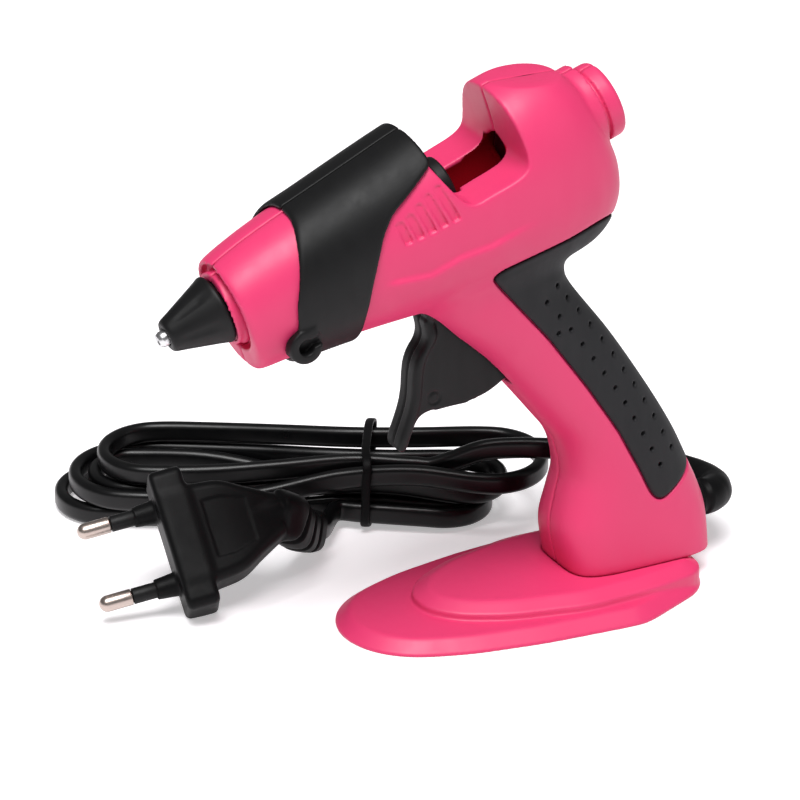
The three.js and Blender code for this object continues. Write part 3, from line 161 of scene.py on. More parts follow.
# Behind the face: way back, half the width and half the thickness.
PLUG_REAR = [(9, 12.6, 6.4), (16, 11.6, 6.2), (22, 8.4, 5.6), (27.6, 5.6, 4.6)]
PIN_OFF = 9.3
NECK_PATH = [(-41.8, 32.8, 14.8), (-36.8, 38, 10), (-31.6, 42.4, 7.2)]
NECK_START, NECK_END = (4.1, 5.1), (3.0, 4.0)
TIE = dict(half_width=14.9, half_height=9.9, middle=10.35, wave=0.35, waves=3, thin=0.45, wide=1.1)

# Studio, metres: the view, and the lamps with place, width and power.
VIEW_MIDDLE, VIEW_BACK, VIEW_AWAY = (-0.030, 0, 0.0586), (-0.4218, -0.8103, 0.4067), 0.9
LAMPS = [
    ("key", (-0.5, -0.4, 1.05), 0.6, 5.6), ("top", (-0.35, -0.7, 2.25), 1.3, 48),
    ("fill", (0.75, -0.85, 0.5), 0.6, 0.9),
]
LAMP_AIM = (-0.02, 0.0, 0.05)
SKY_STRENGTH = 0.18


# ---------- Sizes and colours that a user would change ----------
def length(name, about, value):
    return FloatProperty(name=name, description=about, default=value * MM, unit="LENGTH", subtype="DISTANCE")


def colour(name, about, code):
    parts = [int(code[i:i + 2], 16) / 255 for i in (0, 2, 4)]
    linear = [c / 12.92 if c <= 0.04045 else ((c + 0.055) / 1.055) ** 2.4 for c in parts]
    return FloatVectorProperty(
        name=name, description=about, default=linear, size=3, min=0, max=1, subtype="COLOR")


class ApplicatorSizes(bpy.types.PropertyGroup):
    cell: length("Mesh cell", "Size of the cells that moulded shapes are meshed in", 0.48)
    fine_cell: length("Fine cell", "Cell size of the smaller moulded shapes", 0.34)
    wall: length("Wall", "Wall thickness of the housing", 2.6)
    parting: length("Parting gap", "Half the gap between the two housing halves", 0.15)
    fillet: length("Handle fillet", "How softly the handle runs into the barrel", 3)
    edge: length("Edge rounding", "Rounding of the moulded edges", 0.7)
    band_proud: length("Band height", "How far the band stands out of the barrel", 1.3)
    grip_depth: length("Grip depth", "How deep the grip covers are let into the handle", 1.4)
    dimple: length("Dimple radius", "Radius of the dimples in the grip covers", 0.6)
    cord_wide: length("Cord width", "Width of the flat cord", 5.4)
    cord_thin: length("Cord thickness", "Thickness of the flat cord", 3.4)
    cap_flutes: IntProperty(
        name="Cap flutes", description="Flutes round the nozzle cap", default=6, min=3, max=24)


class ApplicatorFinish(bpy.types.PropertyGroup):
    body: colour("Body", "Colour of the moulded body", "da366a")
    trim: colour("Trim", "Colour of the hard black trim", "0b0b0c")
    grip: colour("Grip", "Colour of the soft grip covers", "1e1e20")
    cord: colour("Cord", "Colour of the cord and plug", "09090a")
    floor: colour("Floor", "Colour of the studio floor", "fbf8fb")


def sizes():
    return bpy.context.scene.applicator_sizes


def mm(value):
    return value / MM


# ---------- Points and curves ----------
def along(s, w):
    """From places along and above the barrel axis to X and Z."""
    return (TIP[0] + s * AX - w * AZ, TIP[1] + s * AZ + w * AX)


def to_barrel(x, z):
    """From X and Z to places along and above the barrel axis."""
    dx, dz = x - TIP[0], z - TIP[1]
    return dx * AX + dz * AZ, dz * AX - dx * AZ


def screw_places():
    return [along(*place) for place in BARREL_SCREWS] + HANDLE_SCREWS


def unit(v):
    v = np.asarray(v, float)
    return v / np.linalg.norm(v)


def spline(points, per_span=12, centripetal=True):
    """A smooth curve through the points."""
    p = np.asarray(points, float)
    first, last = 2 * p[0] - p[1], 2 * p[-1] - p[-2]
    p = np.vstack([first, p, last])
    out = []
    for i in range(1, len(p) - 2):
        a, b, c, d = p[i - 1:i + 3]
        power = 0.5 if centripetal else 0
        t1 = np.linalg.norm(b - a) ** power
        t2 = t1 + np.linalg.norm(c - b) ** power
        t3 = t2 + np.linalg.norm(d - c) ** power
        t = np.linspace(t1, t2, per_span, endpoint=False)[:, None]
        a1 = (t1 - t) / t1 * a + t / t1 * b
        a2 = (t2 - t) / (t2 - t1) * b + (t - t1) / (t2 - t1) * c
        a3 = (t3 - t) / (t3 - t2) * c + (t - t2) / (t3 - t2) * d
        b1 = (t2 - t) / t2 * a1 + t / t2 * a2
        b2 = (t3 - t) / (t3 - t1) * a2 + (t - t1) / (t3 - t1) * a3
        out.append((t2 - t) / (t2 - t1) * b1 + (t - t1) / (t2 - t1) * b2)
    return np.vstack([*out, p[-2:-1]])


def evenly(points, step):
    """The same line with points an even step apart."""
    p = np.asarray(points, float)
    run = np.concatenate([[0], np.cumsum(np.linalg.norm(np.diff(p, axis=0), axis=1))])
    places = np.linspace(0, run[-1], max(2, int(round(run[-1] / step)) + 1))
    return np.column_stack([np.interp(places, run, p[:, k]) for k in range(p.shape[1])])


def softened(outline, reach, closed=True):
    """Each corner of an outline becomes a curve that starts a given reach before it."""
    p = np.asarray(outline, float)
    out = []
    count = len(p)
    for i in range(count):
        if not closed and i in (0, count - 1):
            out.append(p[i])
            continue
        before, here, after = p[i - 1], p[i], p[(i + 1) % count]
        a = min(reach, np.linalg.norm(here - before) * 0.5)
        b = min(reach, np.linalg.norm(after - here) * 0.5)
        start = here + unit(before - here) * a
        end = here + unit(after - here) * b
        for t in np.linspace(0, 1, 6):
            out.append((1 - t) ** 2 * start + 2 * t * (1 - t) * here + t * t * end)
    return np.array(out)


# ---------- Blocks of distances ----------
class Block:
    """A block of space in even cells, with the places of its cells in millimetres."""

    def __init__(self, low, high, step):
        self.step = step
        self.low = np.array(low, float)
        self.shape = tuple(int(math.ceil((high[k] - low[k]) / step)) + 1 for k in range(3))
        axes = [self.low[k] + step * np.arange(self.shape[k]) for k in range(3)]
        self.x, self.y, self.z = (a.astype(np.float32) for a in np.ix_(*axes))
        self.s, self.w = to_barrel(self.x, self.z)

    def off_axis(self, drop=0.0):
        """Distance from the barrel axis."""
        return np.sqrt((self.w - drop) ** 2 + self.y ** 2)

    def tube(self, radius, start, end, drop=0.0):
        return np.maximum(self.off_axis(drop) - radius, np.maximum(start - self.s, self.s - end))

    def slab(self, s0, s1, w0, w1):
        return np.maximum(np.maximum(s0 - self.s, self.s - s1), np.maximum(w0 - self.w, self.w - w1))

    def plate(self, outline, barrel=False):
        """Distance from the edge of an outline seen from the side."""
        points = np.array([along(*p) for p in outline]) if barrel else np.asarray(outline, float)
        flat = outline_distance(self.x[:, 0, :], self.z[:, 0, :], points)
        return flat[:, None, :]

    def plan(self, outline):
        """Distance from the edge of an outline seen from above."""
        flat = outline_distance(self.x[:, :, 0], self.y[:, :, 0], np.asarray(outline, float))
        return flat[:, :, None]

    def pin(self, radius, x, z):
        return np.sqrt((self.x - x) ** 2 + (self.z - z) ** 2) - radius

    def solid(self, vertices, faces, reach):
        """Distance from a closed mesh, up to a reach."""
        place = openvdb.createLinearTransform(voxelSize=self.step)
        grid = openvdb.FloatGrid.createLevelSetFromPolygons(
            (vertices - self.low).astype(np.float32), triangles=np.array(faces, np.uint32),
            transform=place, halfWidth=reach / self.step,
        )
        out = np.zeros(self.shape, np.float32)
        grid.copyToArray(out)
        return out

    def mesh(self, distances, name):
        """A mesh of the surface where the distance is nothing."""
        room = self.step * 3
        d = np.clip(np.broadcast_to(distances, self.shape), -room, room).astype(np.float32)
        d[[0, -1]] = room
        d[:, [0, -1]] = room
        d[:, :, [0, -1]] = room
        grid = openvdb.FloatGrid(room)
        grid.copyFromArray(d)
        points, triangles, quads = grid.convertToPolygons(isovalue=0.0, adaptivity=0.0)
        points = settled(points, d)
        vertices = (points * self.step + self.low) * MM
        return mesh_object(name, vertices, [*quads.tolist(), *triangles.tolist()])


def settled(points, d):
    """Moves the points of a mesh on to the surface that the distances describe."""
    grads = np.gradient(d)
    for _ in range(2):
        low = np.clip(np.floor(points).astype(int), 0, np.array(d.shape) - 2)
        t = points - low
        value = 0
        slope = np.zeros_like(points)
        for corner in range(8):
            bit = np.array([corner >> k & 1 for k in range(3)])
            share = np.prod(np.where(bit, t, 1 - t), axis=1)
            at = tuple((low + bit).T)
            value = value + share * d[at]
            for k in range(3):
                slope[:, k] += share * grads[k][at]
        size = np.maximum((slope ** 2).sum(1), 1e-3)
        points = points - np.clip(value / size, -1, 1)[:, None] * slope * 0.9
    return points


def outline_distance(px, pz, points):
    best = np.full(np.broadcast(px, pz).shape, np.inf, np.float32)
    inside = np.zeros(best.shape, bool)
    for a, b in zip(points, np.roll(points, -1, axis=0)):
        edge = b - a
        size = edge @ edge
        if size < 1e-12:
            continue
        vx, vz = px - a[0], pz - a[1]
        t = np.clip((vx * edge[0] + vz * edge[1]) / size, 0, 1)
        best = np.minimum(best, (vx - t * edge[0]) ** 2 + (vz - t * edge[1]) ** 2)
        crossing = (a[1] > pz) != (b[1] > pz)
        if a[1] != b[1]:
            inside ^= crossing & (px < (b[0] - a[0]) * (pz - a[1]) / (b[1] - a[1]) + a[0])
    best = np.sqrt(best).astype(np.float32)
    return np.where(inside, -best, best)


def united(a, b, soft=0.0):
    """Both shapes, with a fillet where they meet."""
    if np.max(soft) <= 0:
        return np.minimum(a, b)
    h = np.maximum(soft - np.abs(a - b), 0) / soft
    return np.minimum(a, b) - h * h * soft * 0.25


def shared(a, b, soft=0.0):
    """What both shapes hold, with a rounded edge."""
    return -united(-a, -b, soft)


def without(a, b, soft=0.0):
    return shared(a, -b, soft)


def step_up(value):
    t = np.clip(value, 0, 1)
    return t * t * (3 - 2 * t)


def super_point(angle, power):
    c, s = np.cos(angle), np.sin(angle)
    return np.sign(c) * np.abs(c) ** (2 / power), np.sign(s) * np.abs(s) ** (2 / power)


def rings_closed(rings):
    """Triangles of a closed body through rings of equally many points."""
    n, sides = rings.shape[:2]
    vertices = np.vstack([rings.reshape(-1, 3), rings[0].mean(0), rings[-1].mean(0)])
    k, i = np.meshgrid(np.arange(n - 1), np.arange(sides), indexing="ij")
    a = (k * sides + i).ravel()
    b = (k * sides + (i + 1) % sides).ravel()
    faces = [np.column_stack([a, b, a + sides]), np.column_stack([b, b + sides, a + sides])]
    i = np.arange(sides)
    j = (i + 1) % sides
    faces.append(np.column_stack([np.full(sides, n * sides), j, i]))
    base = (n - 1) * sides
    faces.append(np.column_stack([np.full(sides, n * sides + 1), base + i, base + j]))
    return vertices, outward(vertices, np.vstack(faces))


def hoop_closed(rings):
    """Faces of a closed body whose last ring of points meets its first."""
    n, sides = rings.shape[:2]
    vertices = rings.reshape(-1, 3)
    k, i = np.meshgrid(np.arange(n), np.arange(sides), indexing="ij")
    j, m = (i + 1) % sides, (k + 1) % n
    faces = np.stack([k * sides + i, k * sides + j, m * sides + j, m * sides + i], axis=2)
    return vertices, outward(vertices, faces.reshape(-1, 4))


def outward(vertices, faces):
    """The faces of a closed body, turned so that they point outwards."""
    p = vertices[faces]
    volume = 0
    for k in range(1, p.shape[1] - 1):
        volume += np.einsum("ij,ij->i", p[:, 0], np.cross(p[:, k], p[:, k + 1])).sum()
    return faces[:, ::-1] if volume < 0 else faces


def lofted(stations, powers, sides=120):
    """A smooth closed body through stations of two opposite points and half a width."""
    squared = np.broadcast_to(powers, len(stations))
    table = spline([(*row, power) for row, power in zip(stations, squared)], 10, centripetal=False)
    ax, az, bx, bz, width, power = (table[:, k:k + 1] for k in range(6))
    c, s = super_point(TURN * np.arange(sides) / sides, power)
    x = (ax + bx) / 2 + (ax - bx) / 2 * c
    z = (az + bz) / 2 + (az - bz) / 2 * c
    return rings_closed(np.stack([x, width * s, z], axis=2))


def swept(points, half_sizes, power=2, sides=48, up=(0, 0, 1)):
    """A closed body along points, with half a width and half a height at each."""
    p = np.asarray(points, float)
    ahead = np.gradient(p, axis=0)
    ahead /= np.linalg.norm(ahead, axis=1)[:, None]
    side = np.cross(ahead, up)
    side /= np.linalg.norm(side, axis=1)[:, None]
    rise = np.cross(side, ahead)
    c, s = super_point(TURN * np.arange(sides) / sides, power)
    half = np.asarray(half_sizes, float)
    across = side[:, None] * (half[:, :1] * c)[..., None]
    upwards = rise[:, None] * (half[:, 1:2] * s)[..., None]
    return rings_closed(p[:, None] + across + upwards)


# ---------- Objects of the scene ----------
def in_scene(name, data):
    """A new object of the scene that shows the data."""
    made = bpy.data.objects.new(name, data)
    bpy.context.scene.collection.objects.link(made)
    return made


def mesh_object(name, vertices, faces):
    mesh = bpy.data.meshes.new(name)
    mesh.from_pydata(np.asarray(vertices, float).tolist(), [], faces)
    mesh.update()
    mesh.shade_smooth()
    return in_scene(name, mesh)


def dressed(piece, finish, slot, *nodes, body="root"):
    """Gives a piece its finish and its body, and hides the solids that it stands for. Its slot is not used.
    """
    piece.data.materials.clear()
    piece.data.materials.append(finish_of(finish))
    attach(piece, body)
    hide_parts(*nodes)


def dressed_pair(right, left, finish, slot, node):
    """The same for the right and the left piece of a pair."""
    dressed(right, finish, slot, f"right_{node}")
    dressed(left, finish, slot, f"left_{node}")


def turned(name, profile, sides=96, flutes=None):
    """A body turned about the barrel axis from a closed profile of radius and place."""
    p = np.asarray(profile, float)
    angles = TURN * np.arange(sides) / sides
    radius = p[:, 0:1] * np.ones(sides)
    if flutes:
        radius = radius - flutes(p[:, 1:2], angles) * p[:, 2:3]
    across, lift = radius * np.cos(angles), radius * np.sin(angles)
    place = p[:, 1:2] * np.ones(sides)
    x = TIP[0] + place * AX - lift * AZ
    z = TIP[1] + place * AZ + lift * AX
    vertices, faces = hoop_closed(np.stack([x, across, z], axis=2))
    return mesh_object(name, vertices * MM, faces.tolist())


def add_node(tree, kind, settings, inputs):
    """A new node of a tree, with its settings and with its inputs linked or filled in."""
    made = tree.nodes.new(kind)
    for key, value in (settings or {}).items():
        setattr(made, key, value)
    for key, value in (inputs or {}).items():
        feed(tree, made.inputs[key], value)
    return made


def feed(tree, socket, value):
    """Links a socket to the value, or fills the value in."""
    source = getattr(value, "socket", value)
    if isinstance(source, bpy.types.NodeSocket):
        tree.links.new(source, socket)
    else:
        socket.default_value = value


# ---------- Geometry Nodes ----------
class Tree:
    """A Geometry Nodes tree with named number inputs, built node by node."""

    def __init__(self, name, inputs):
        self.group = bpy.data.node_groups.new(name, "GeometryNodeTree")
        face = self.group.interface
        face.new_socket(name="Geometry", in_out="INPUT", socket_type="NodeSocketGeometry")
        self.values = inputs
        self.sockets = {}
        for label, value in inputs.items():
            kind = "NodeSocketInt" if isinstance(value, int) else "NodeSocketFloat"
            self.sockets[label] = face.new_socket(name=label, in_out="INPUT", socket_type=kind)
        face.new_socket(name="Geometry", in_out="OUTPUT", socket_type="NodeSocketGeometry")
        self.start = self.group.nodes.new("NodeGroupInput")
        self.end = self.group.nodes.new("NodeGroupOutput")

    def given(self, label):
        return self.start.outputs[label]

    def node(self, kind, settings=None, inputs=None):
        return add_node(self.group, kind, settings, inputs).outputs[0]

    def math(self, operation, a, b):
        return self.node("ShaderNodeMath", {"operation": operation}, {0: a, 1: b})

    def cylinder(self, sides, radius, height):
        return self.node("GeometryNodeMeshCylinder", inputs={
            "Vertices": sides, "Radius": self.given(radius), "Depth": self.given(height)})

    def merged(self, operation, first, *others):
        """The union or the overlap of bodies, or the first without the others."""
        base = {0 if operation == "DIFFERENCE" else 1: first}
        made = self.node("GeometryNodeMeshBoolean", {"operation": operation, "solver": "MANIFOLD"}, base)
        for other in others:
            self.group.links.new(other, made.node.inputs[1])
        return made

    def on_points(self, body, turn):
        return self.node("GeometryNodeInstanceOnPoints", inputs={
            0: self.start.outputs[0], "Instance": body, "Rotation": (turn, 0, 0)})

    def closed(self, geometry, material):
        """Ends the tree: real instances, smooth faces and the material."""
        real = self.node("GeometryNodeRealizeInstances", inputs={0: geometry})
        smooth = self.node("GeometryNodeSetShadeSmooth", inputs={0: real})
        last = self.node("GeometryNodeSetMaterial", inputs={0: smooth, "Material": material})
        self.group.links.new(last, self.end.inputs[0])
        return self

    def made_on(self, carrier, name):
        """Runs the tree on an object and keeps the result as a plain mesh."""
        modifier = carrier.modifiers.new(name, "NODES")
        modifier.node_group = self.group
        for label, value in self.values.items():
            modifier[self.sockets[label].identifier] = value
        bpy.context.view_layer.update()
        seen = carrier.evaluated_get(bpy.context.evaluated_depsgraph_get())
        mesh = bpy.data.meshes.new_from_object(seen)
        carrier.modifiers.remove(modifier)
        bpy.data.objects.remove(carrier)
        mesh.name = name
        return in_scene(name, mesh)


def line_object(name, points):
    """A carrier curve through points in metres."""
    data = bpy.data.curves.new(name, "CURVE")
    data.dimensions = "3D"
    line = data.splines.new("POLY")
    line.points.add(len(points) - 1)
    places = np.column_stack([points, np.ones(len(points))])
    line.points.foreach_set("co", places.astype(np.float32).ravel())
    return in_scene(name, data)


def point_object(name, points):
    """A carrier mesh of points in metres."""
    data = bpy.data.meshes.new(name)
    data.from_pydata(points, [], [])
    return in_scene(name, data)


def flat_tube(name, points, thin, wide, corner, material):
    """A tube of rounded flat section along points, its broad side upright."""
    tree = Tree(name, {"Thickness": thin, "Width": wide, "Corner": corner, "Corner steps": 6})
    section = tree.node(
        "GeometryNodeCurvePrimitiveQuadrilateral",
        inputs={"Width": tree.given("Thickness"), "Height": tree.given("Width")},
    )
    rounded = tree.node(
        "GeometryNodeFilletCurve", {"mode": "POLY"},
        {0: section, "Radius": tree.given("Corner"), "Count": tree.given("Corner steps")},
    )
    upright = tree.node("GeometryNodeSetCurveNormal", {"mode": "Z_UP"}, {0: tree.start.outputs[0]})
    body = tree.node(
        "GeometryNodeCurveToMesh", inputs={0: upright, "Profile Curve": rounded, "Fill Caps": True},
    )
    return tree.closed(body, material).made_on(line_object(name, points), name)


# ---------- Materials ----------
FLOOR_LIFT = 0.4
# Painted shade in the stick channel: its darkest and its lightest colour, and the zone that it covers.
PAINTED_SHADE_DARK = (0.1, 0.001, 0.003, 1)
PAINTED_SHADE_LIGHT = (0.6, 0.006, 0.04, 1)
PAINTED_SHADE_ZONE = dict(start=76, end=96, half_width=5.6, radius=(7.2, 6.9), top=(-0.3, -0.9), rises_at=84)


class Value:
    """A socket of a material that takes part in sums."""

    def __init__(self, paint, socket):
        self.paint, self.socket = paint, socket

    def __add__(self, other):
        return self.paint.math("ADD", self, other)

    def __sub__(self, other):
        return self.paint.math("SUBTRACT", self, other)

    def __rsub__(self, other):
        return self.paint.math("SUBTRACT", other, self)

    def __mul__(self, other):
        return self.paint.math("MULTIPLY", self, other)

    def __gt__(self, other):
        return self.paint.math("GREATER_THAN", self, other)


class Paint:
    """A material with one main shader."""

    def __init__(self, name, **fixed):
        self.material = bpy.data.materials.new(name)
        self.material.use_nodes = True
        self.tree = self.material.node_tree
        self.shader = self.tree.nodes["Principled BSDF"]
        for label, value in fixed.items():
            self.shader.inputs[label.replace("_", " ").title().replace("Ior", "IOR")].default_value = value

    def node(self, kind, settings=None, inputs=None, output=0):
        return Value(self, add_node(self.tree, kind, settings, inputs).outputs[output])

    def math(self, operation, a, b=0.0):
        return self.node("ShaderNodeMath", {"operation": operation}, {0: a, 1: b})

    def set(self, **links):
        for label, value in links.items():
            feed(self.tree, self.shader.inputs[label.replace("_", " ").title()], value)
        return self

    def shown(self, kind, inputs):
        """Ends the material with a shader that takes the main one as its first part."""
        both = self.node(kind, inputs=inputs)
        feed(self.tree, self.tree.nodes["Material Output"].inputs["Surface"], both)

    def main(self):
        return Value(self, self.shader.outputs[0])

    def place(self):
        return self.node("ShaderNodeTexCoord", output="Object")

    def stretched(self, scale, turn=(0, 0, 0)):
        inputs = {"Vector": self.place(), "Scale": scale, "Rotation": turn}
        return self.node("ShaderNodeMapping", inputs=inputs)

    def noise(self, per_mm, detail=2.0, rough=0.5, where=None):
        inputs = {"Vector": where or self.place(), "Scale": per_mm / MM, "Detail": detail, "Roughness": rough}
        return self.node("ShaderNodeTexNoise", inputs=inputs)

    def ramp(self, value, low, high):
        """From nothing at low to one at high."""
        return self.node("ShaderNodeMapRange", {"clamp": True}, {0: value, 1: low, 2: high})

    def blend(self, share, a, b):
        return self.node("ShaderNodeMix", {"data_type": "RGBA"}, {0: share, 6: a, 7: b}, output=2)

    def bumped(self, height, strength, depth):
        return self.set(Normal=self.node("ShaderNodeBump", inputs={
            "Strength": strength, "Distance": depth * MM, "Height": height,
        }))


def toned(tone, share):
    return (*[min(1.0, c * share) for c in tone], 1.0)


def moulded(name, tone, rough, grain=1.6, bump=0.2, spread=0.05, inner=None, **fixed):
    """Moulded plastic: fine eroded texture and an uneven sheen."""
    paint = Paint(name, **fixed)
    cloud = paint.noise(0.05, 3.0)
    fine = paint.noise(grain, 3.0, 0.6)
    flow = paint.noise(0.35, 2.0, where=paint.stretched((1, 1, 0.3)))
    shade = paint.blend(cloud, toned(tone, 1 - spread), toned(tone, 1 + spread))
    paint.set(Base_Color=shade, Roughness=paint.ramp(flow, 0.2, 0.8) * 0.1 + (rough - 0.05) + fine * 0.04)
    paint.bumped(fine + flow * 0.5, bump, 0.08)
    # A hook for more nodes, such as the painted shade in the body's stick channel.
    if inner:
        inner(paint)
    return paint.material


def body_finish(tone):
    """The pink of the housing, with painted shade in the stick channel: a dark red diffuse shader stands in
    for the shade where little light comes, painted lighter towards the near side.
    """
    def painted_channel_shade(paint):
        split = add_node(paint.tree, "ShaderNodeSeparateXYZ", {}, {0: paint.place()})
        x, y, z = (Value(paint, split.outputs[k]) for k in range(3))
        x, z = x - TIP[0] * MM, z - TIP[1] * MM
        s, w = x * AX + z * AZ, z * AX - x * AZ
        off = paint.math("SQRT", y * y + w * w)
        edge = w - paint.math("MAXIMUM", s - PAINTED_SHADE_ZONE["rises_at"] * MM, 0) * 0.5
        (out, full), (above, below) = PAINTED_SHADE_ZONE["radius"], PAINTED_SHADE_ZONE["top"]
        # Mask of the painted shade: within the channel's bore, below its open top, between its ends and
        # inside its sides.
        inside = paint.ramp(off, out * MM, full * MM) * paint.ramp(edge, above * MM, below * MM)
        inside = inside * (s > PAINTED_SHADE_ZONE["start"] * MM) * (1 - (s > PAINTED_SHADE_ZONE["end"] * MM))
        inside = inside * (1 - (paint.math("ABSOLUTE", y) > PAINTED_SHADE_ZONE["half_width"] * MM))
        # The painted shade is lighter towards the near side of the channel and darkest at the far side.
        depth = paint.ramp(y, -5 * MM, 1 * MM)
        painted_shade_tone = paint.blend(depth, PAINTED_SHADE_LIGHT, PAINTED_SHADE_DARK)
        painted_shade_shader = paint.node("ShaderNodeBsdfDiffuse", inputs={"Color": painted_shade_tone})
        # Mixes the painted-shade diffuse shader over the pink where the mask holds.
        paint.shown("ShaderNodeMixShader", {0: inside, 1: paint.main(), 2: painted_shade_shader})
    return moulded("body_plastic_with_painted_shade", tone, 0.45, 1.5, 0.16, 0.03, painted_channel_shade, specular_ior_level=0.48)


def metal(name, tone, rough, grain=(1, 40, 40), turn=(0, -TILT, 0), stain=0.08):
    """Metal with the fine lines of its making and faint stains."""
    paint = Paint(name, metallic=1.0)
    lines = paint.noise(0.12, 3.0, where=paint.stretched(grain, turn))
    cloud = paint.noise(0.3, 3.0)
    shade = paint.blend(cloud, toned(tone, 1 - stain), toned(tone, 1 + stain))
    paint.set(Base_Color=shade, Roughness=lines * 0.14 + cloud * 0.1 + (rough - 0.1))
    return paint.bumped(lines, 0.12, 0.03).material


def floor_finish(tone):
    """Pale studio floor that shows white to the camera and keeps the shadows."""
    paint = Paint("floor_paper", roughness=0.75, specular_ior_level=0.25)
    fibre = paint.noise(0.01, 4.0)
    shade = paint.blend(fibre, toned(tone, 0.985), toned(tone, 1.0))
    paint.set(Base_Color=shade)
    paths = paint.tree.nodes.new("ShaderNodeLightPath")
    camera, glossy, through = (
        Value(paint, paths.outputs[f"Is {kind} Ray"]) for kind in ("Camera", "Glossy", "Transmission")
    )
    seen = paint.math("MAXIMUM", camera, paint.math("MAXIMUM", glossy, through))
    inputs = {"Color": (1.0, 0.985, 0.995, 1), "Strength": seen * FLOOR_LIFT}
    glow = paint.node("ShaderNodeEmission", inputs=inputs)
    paint.shown("ShaderNodeAddShader", {0: paint.main(), 1: glow})
    return paint.material


_made = {}


def finish_of(key):
    """The material of a finish, made once."""
    if key in _made:
        return _made[key]
    tones = bpy.context.scene.applicator_finish
    body, trim, grip, cord = (tuple(c) for c in (tones.body, tones.trim, tones.grip, tones.cord))
    makers = {
        "body": lambda: body_finish(body),
        "trim": lambda: moulded("trim_plastic", trim, 0.5, 1.3, 0.15, 0.12, specular_ior_level=0.24),
        "grip": lambda: moulded("grip_rubber", grip, 0.62, 2.2, 0.25, 0.1, specular_ior_level=0.25),
        "cord": lambda: moulded("cord_rubber", cord, 0.3, 0.9, 0.04, 0.15, specular_ior_level=0.28),
        "plug": lambda: moulded("plug_rubber", trim, 0.46, 1.1, 0.25, 0.1, specular_ior_level=0.1),
        "steel": lambda: metal("steel", (0.62, 0.62, 0.63), 0.28),
        "cast": lambda: metal("cast_metal", (0.45, 0.46, 0.47), 0.5, (1, 3, 3)),
        "nickel": lambda: metal("pin_nickel", (0.5, 0.42, 0.38), 0.3, (2, 30, 30), (0, 0, 0), 0.05),
        "ceramic": lambda: moulded("ceramic", (0.78, 0.75, 0.68), 0.6, 2.0, 0.3),
        "live": lambda: moulded("wire_brown", (0.14, 0.05, 0.02), 0.4, 1.0, 0.1),
        "neutral": lambda: moulded("wire_blue", (0.02, 0.09, 0.35), 0.4, 1.0, 0.1),
    }
    _made[key] = makers[key]()
    return _made[key]


# ---------- Forms ----------
def barrel_form(block, reach):
    stations = [(*along(s0, w0), *along(s1, w1), half) for s0, w0, s1, w1, half in BARREL]
    return block.solid(*lofted(stations, BARREL_POWER), reach)


def handle_form(block, reach):
    return block.solid(*lofted(HANDLE, HANDLE_POWERS), reach)


def body_outline(block):
    """Barrel and handle joined with a fillet, and the low ledge below the vents."""
    barrel, handle = barrel_form(block, 11.0), handle_form(block, 11.0)
    fillet = mm(sizes().fillet) * np.interp(block.x, [-20, 0], [1.8, 1])
    line = np.interp(block.s, *zip(*CREASE))
    below = line - block.w
    ends = step_up((block.s - 49) / 4) * step_up((92 - block.s) / 16)
    ledge = step_up((below + 0.7) / 1.4) * (1 - step_up((below - 1) / 10)) * ends
    return united(barrel, handle, fillet) - CREASE_HEIGHT * ledge


def window_outline(grow=0.0):
    middle = 84
    return softened([(s + (grow if s > middle else -grow), w - grow if w < 5 else w) for s, w in WINDOW], 3.2)


def shell_form(block, outer):
    """The shell of the right half with its deck, stick trough, inlet ring and nose rim."""
    wall = mm(sizes().wall)
    shell = without(outer, shared(outer + wall, 20.5 - block.s))
    shell = united(shell, shared(outer, block.plate(window_outline(2.2), True)))
    trough = shared(block.tube(7.0, 74, 93), block.slab(70, 95, -20, 0))
    shell = united(shell, trough, 0.6)
    front, middle, lip = (block.tube(*step) for step in INLET_STEPS)
    slope = block.off_axis(INLET_STEPS[2][3]) + block.s - INLET_BEVEL
    ring = united(united(front, middle, 0.4), shared(lip, slope, 0.8), 0.3)
    shell = united(shell, without(ring, outer + wall), 1.0)
    return united(shell, block.tube(9.2, 15.6, 19), 0.3)


def housing_form(block):
    """The right half of the housing: its shell with the window, vents, bores and recesses cut in."""
    size = sizes()
    outer = body_outline(block)
    across = np.abs(block.y)
    body = without(shell_form(block, outer), block.plate(window_outline(), True), mm(size.edge))
    groove = NOSE_GROOVE
    depth = np.abs(block.off_axis(groove["drop"]) - groove["radius"]) - groove["half_depth"]
    length_in = np.abs(block.s - groove["place"]) - groove["half_width"]
    body = without(body, np.maximum(depth, length_in), 0.4)
    body = without(body, vent_form(block, outer), 0.2)
    for bore in BORES:
        body = without(body, block.tube(*bore))
    radius, first = CHANNEL["radius"], CHANNEL["start"]
    top = np.maximum(block.slab(first, CHANNEL["open_end"], 0, 12), across - radius)
    body = without(body, united(block.tube(radius, first, CHANNEL["end"]), top), 0.5)
    body = without(body, block.tube(*STICK_BORE), 0.5)
    body = without(body, np.maximum(block.slab(*FEED_BAY), across - radius))
    body = without(body, np.maximum(block.plate(softened(OPENING, 1.5)), across - 4.4), 0.5)
    hole, height, begin = RELIEF_HOLE
    relief = np.sqrt(block.y ** 2 + (block.z - height) ** 2)
    body = without(body, np.maximum(relief - hole, begin - block.x), 0.6)
    grip = block.plate(softened(GRIP, 2.0))
    body = without(body, np.maximum(grip, -(outer + mm(size.grip_depth))), 0.5)
    body = shared(body, 6.5 - block.z, 0.5)
    return shared(body, mm(size.parting) + block.y, 0.5)


def vent_form(block, outer):
    """Slanted louvres, each deeper towards its rear and lower end."""
    slots = None
    for s0, w0, s1, w1 in VENTS:
        outline = softened([(s0 - 1.7, w0), (s0 + 0.3, w0), (s1 + 0.3, w1), (s1 - 1.7, w1)], 0.3)
        middle = np.interp(block.w, [w1, w0], [s1, s0])
        fall = np.clip((w0 - block.w) / (w0 - w1), 0, 1)
        depth = 0.2 + 0.45 * fall + 0.4 * np.clip((block.s - middle + 1.7) / 2.0, 0, 1)
        slot = np.maximum(block.plate(outline, True), -(outer + depth))
        slots = slot if slots is None else np.minimum(slots, slot)
    return slots


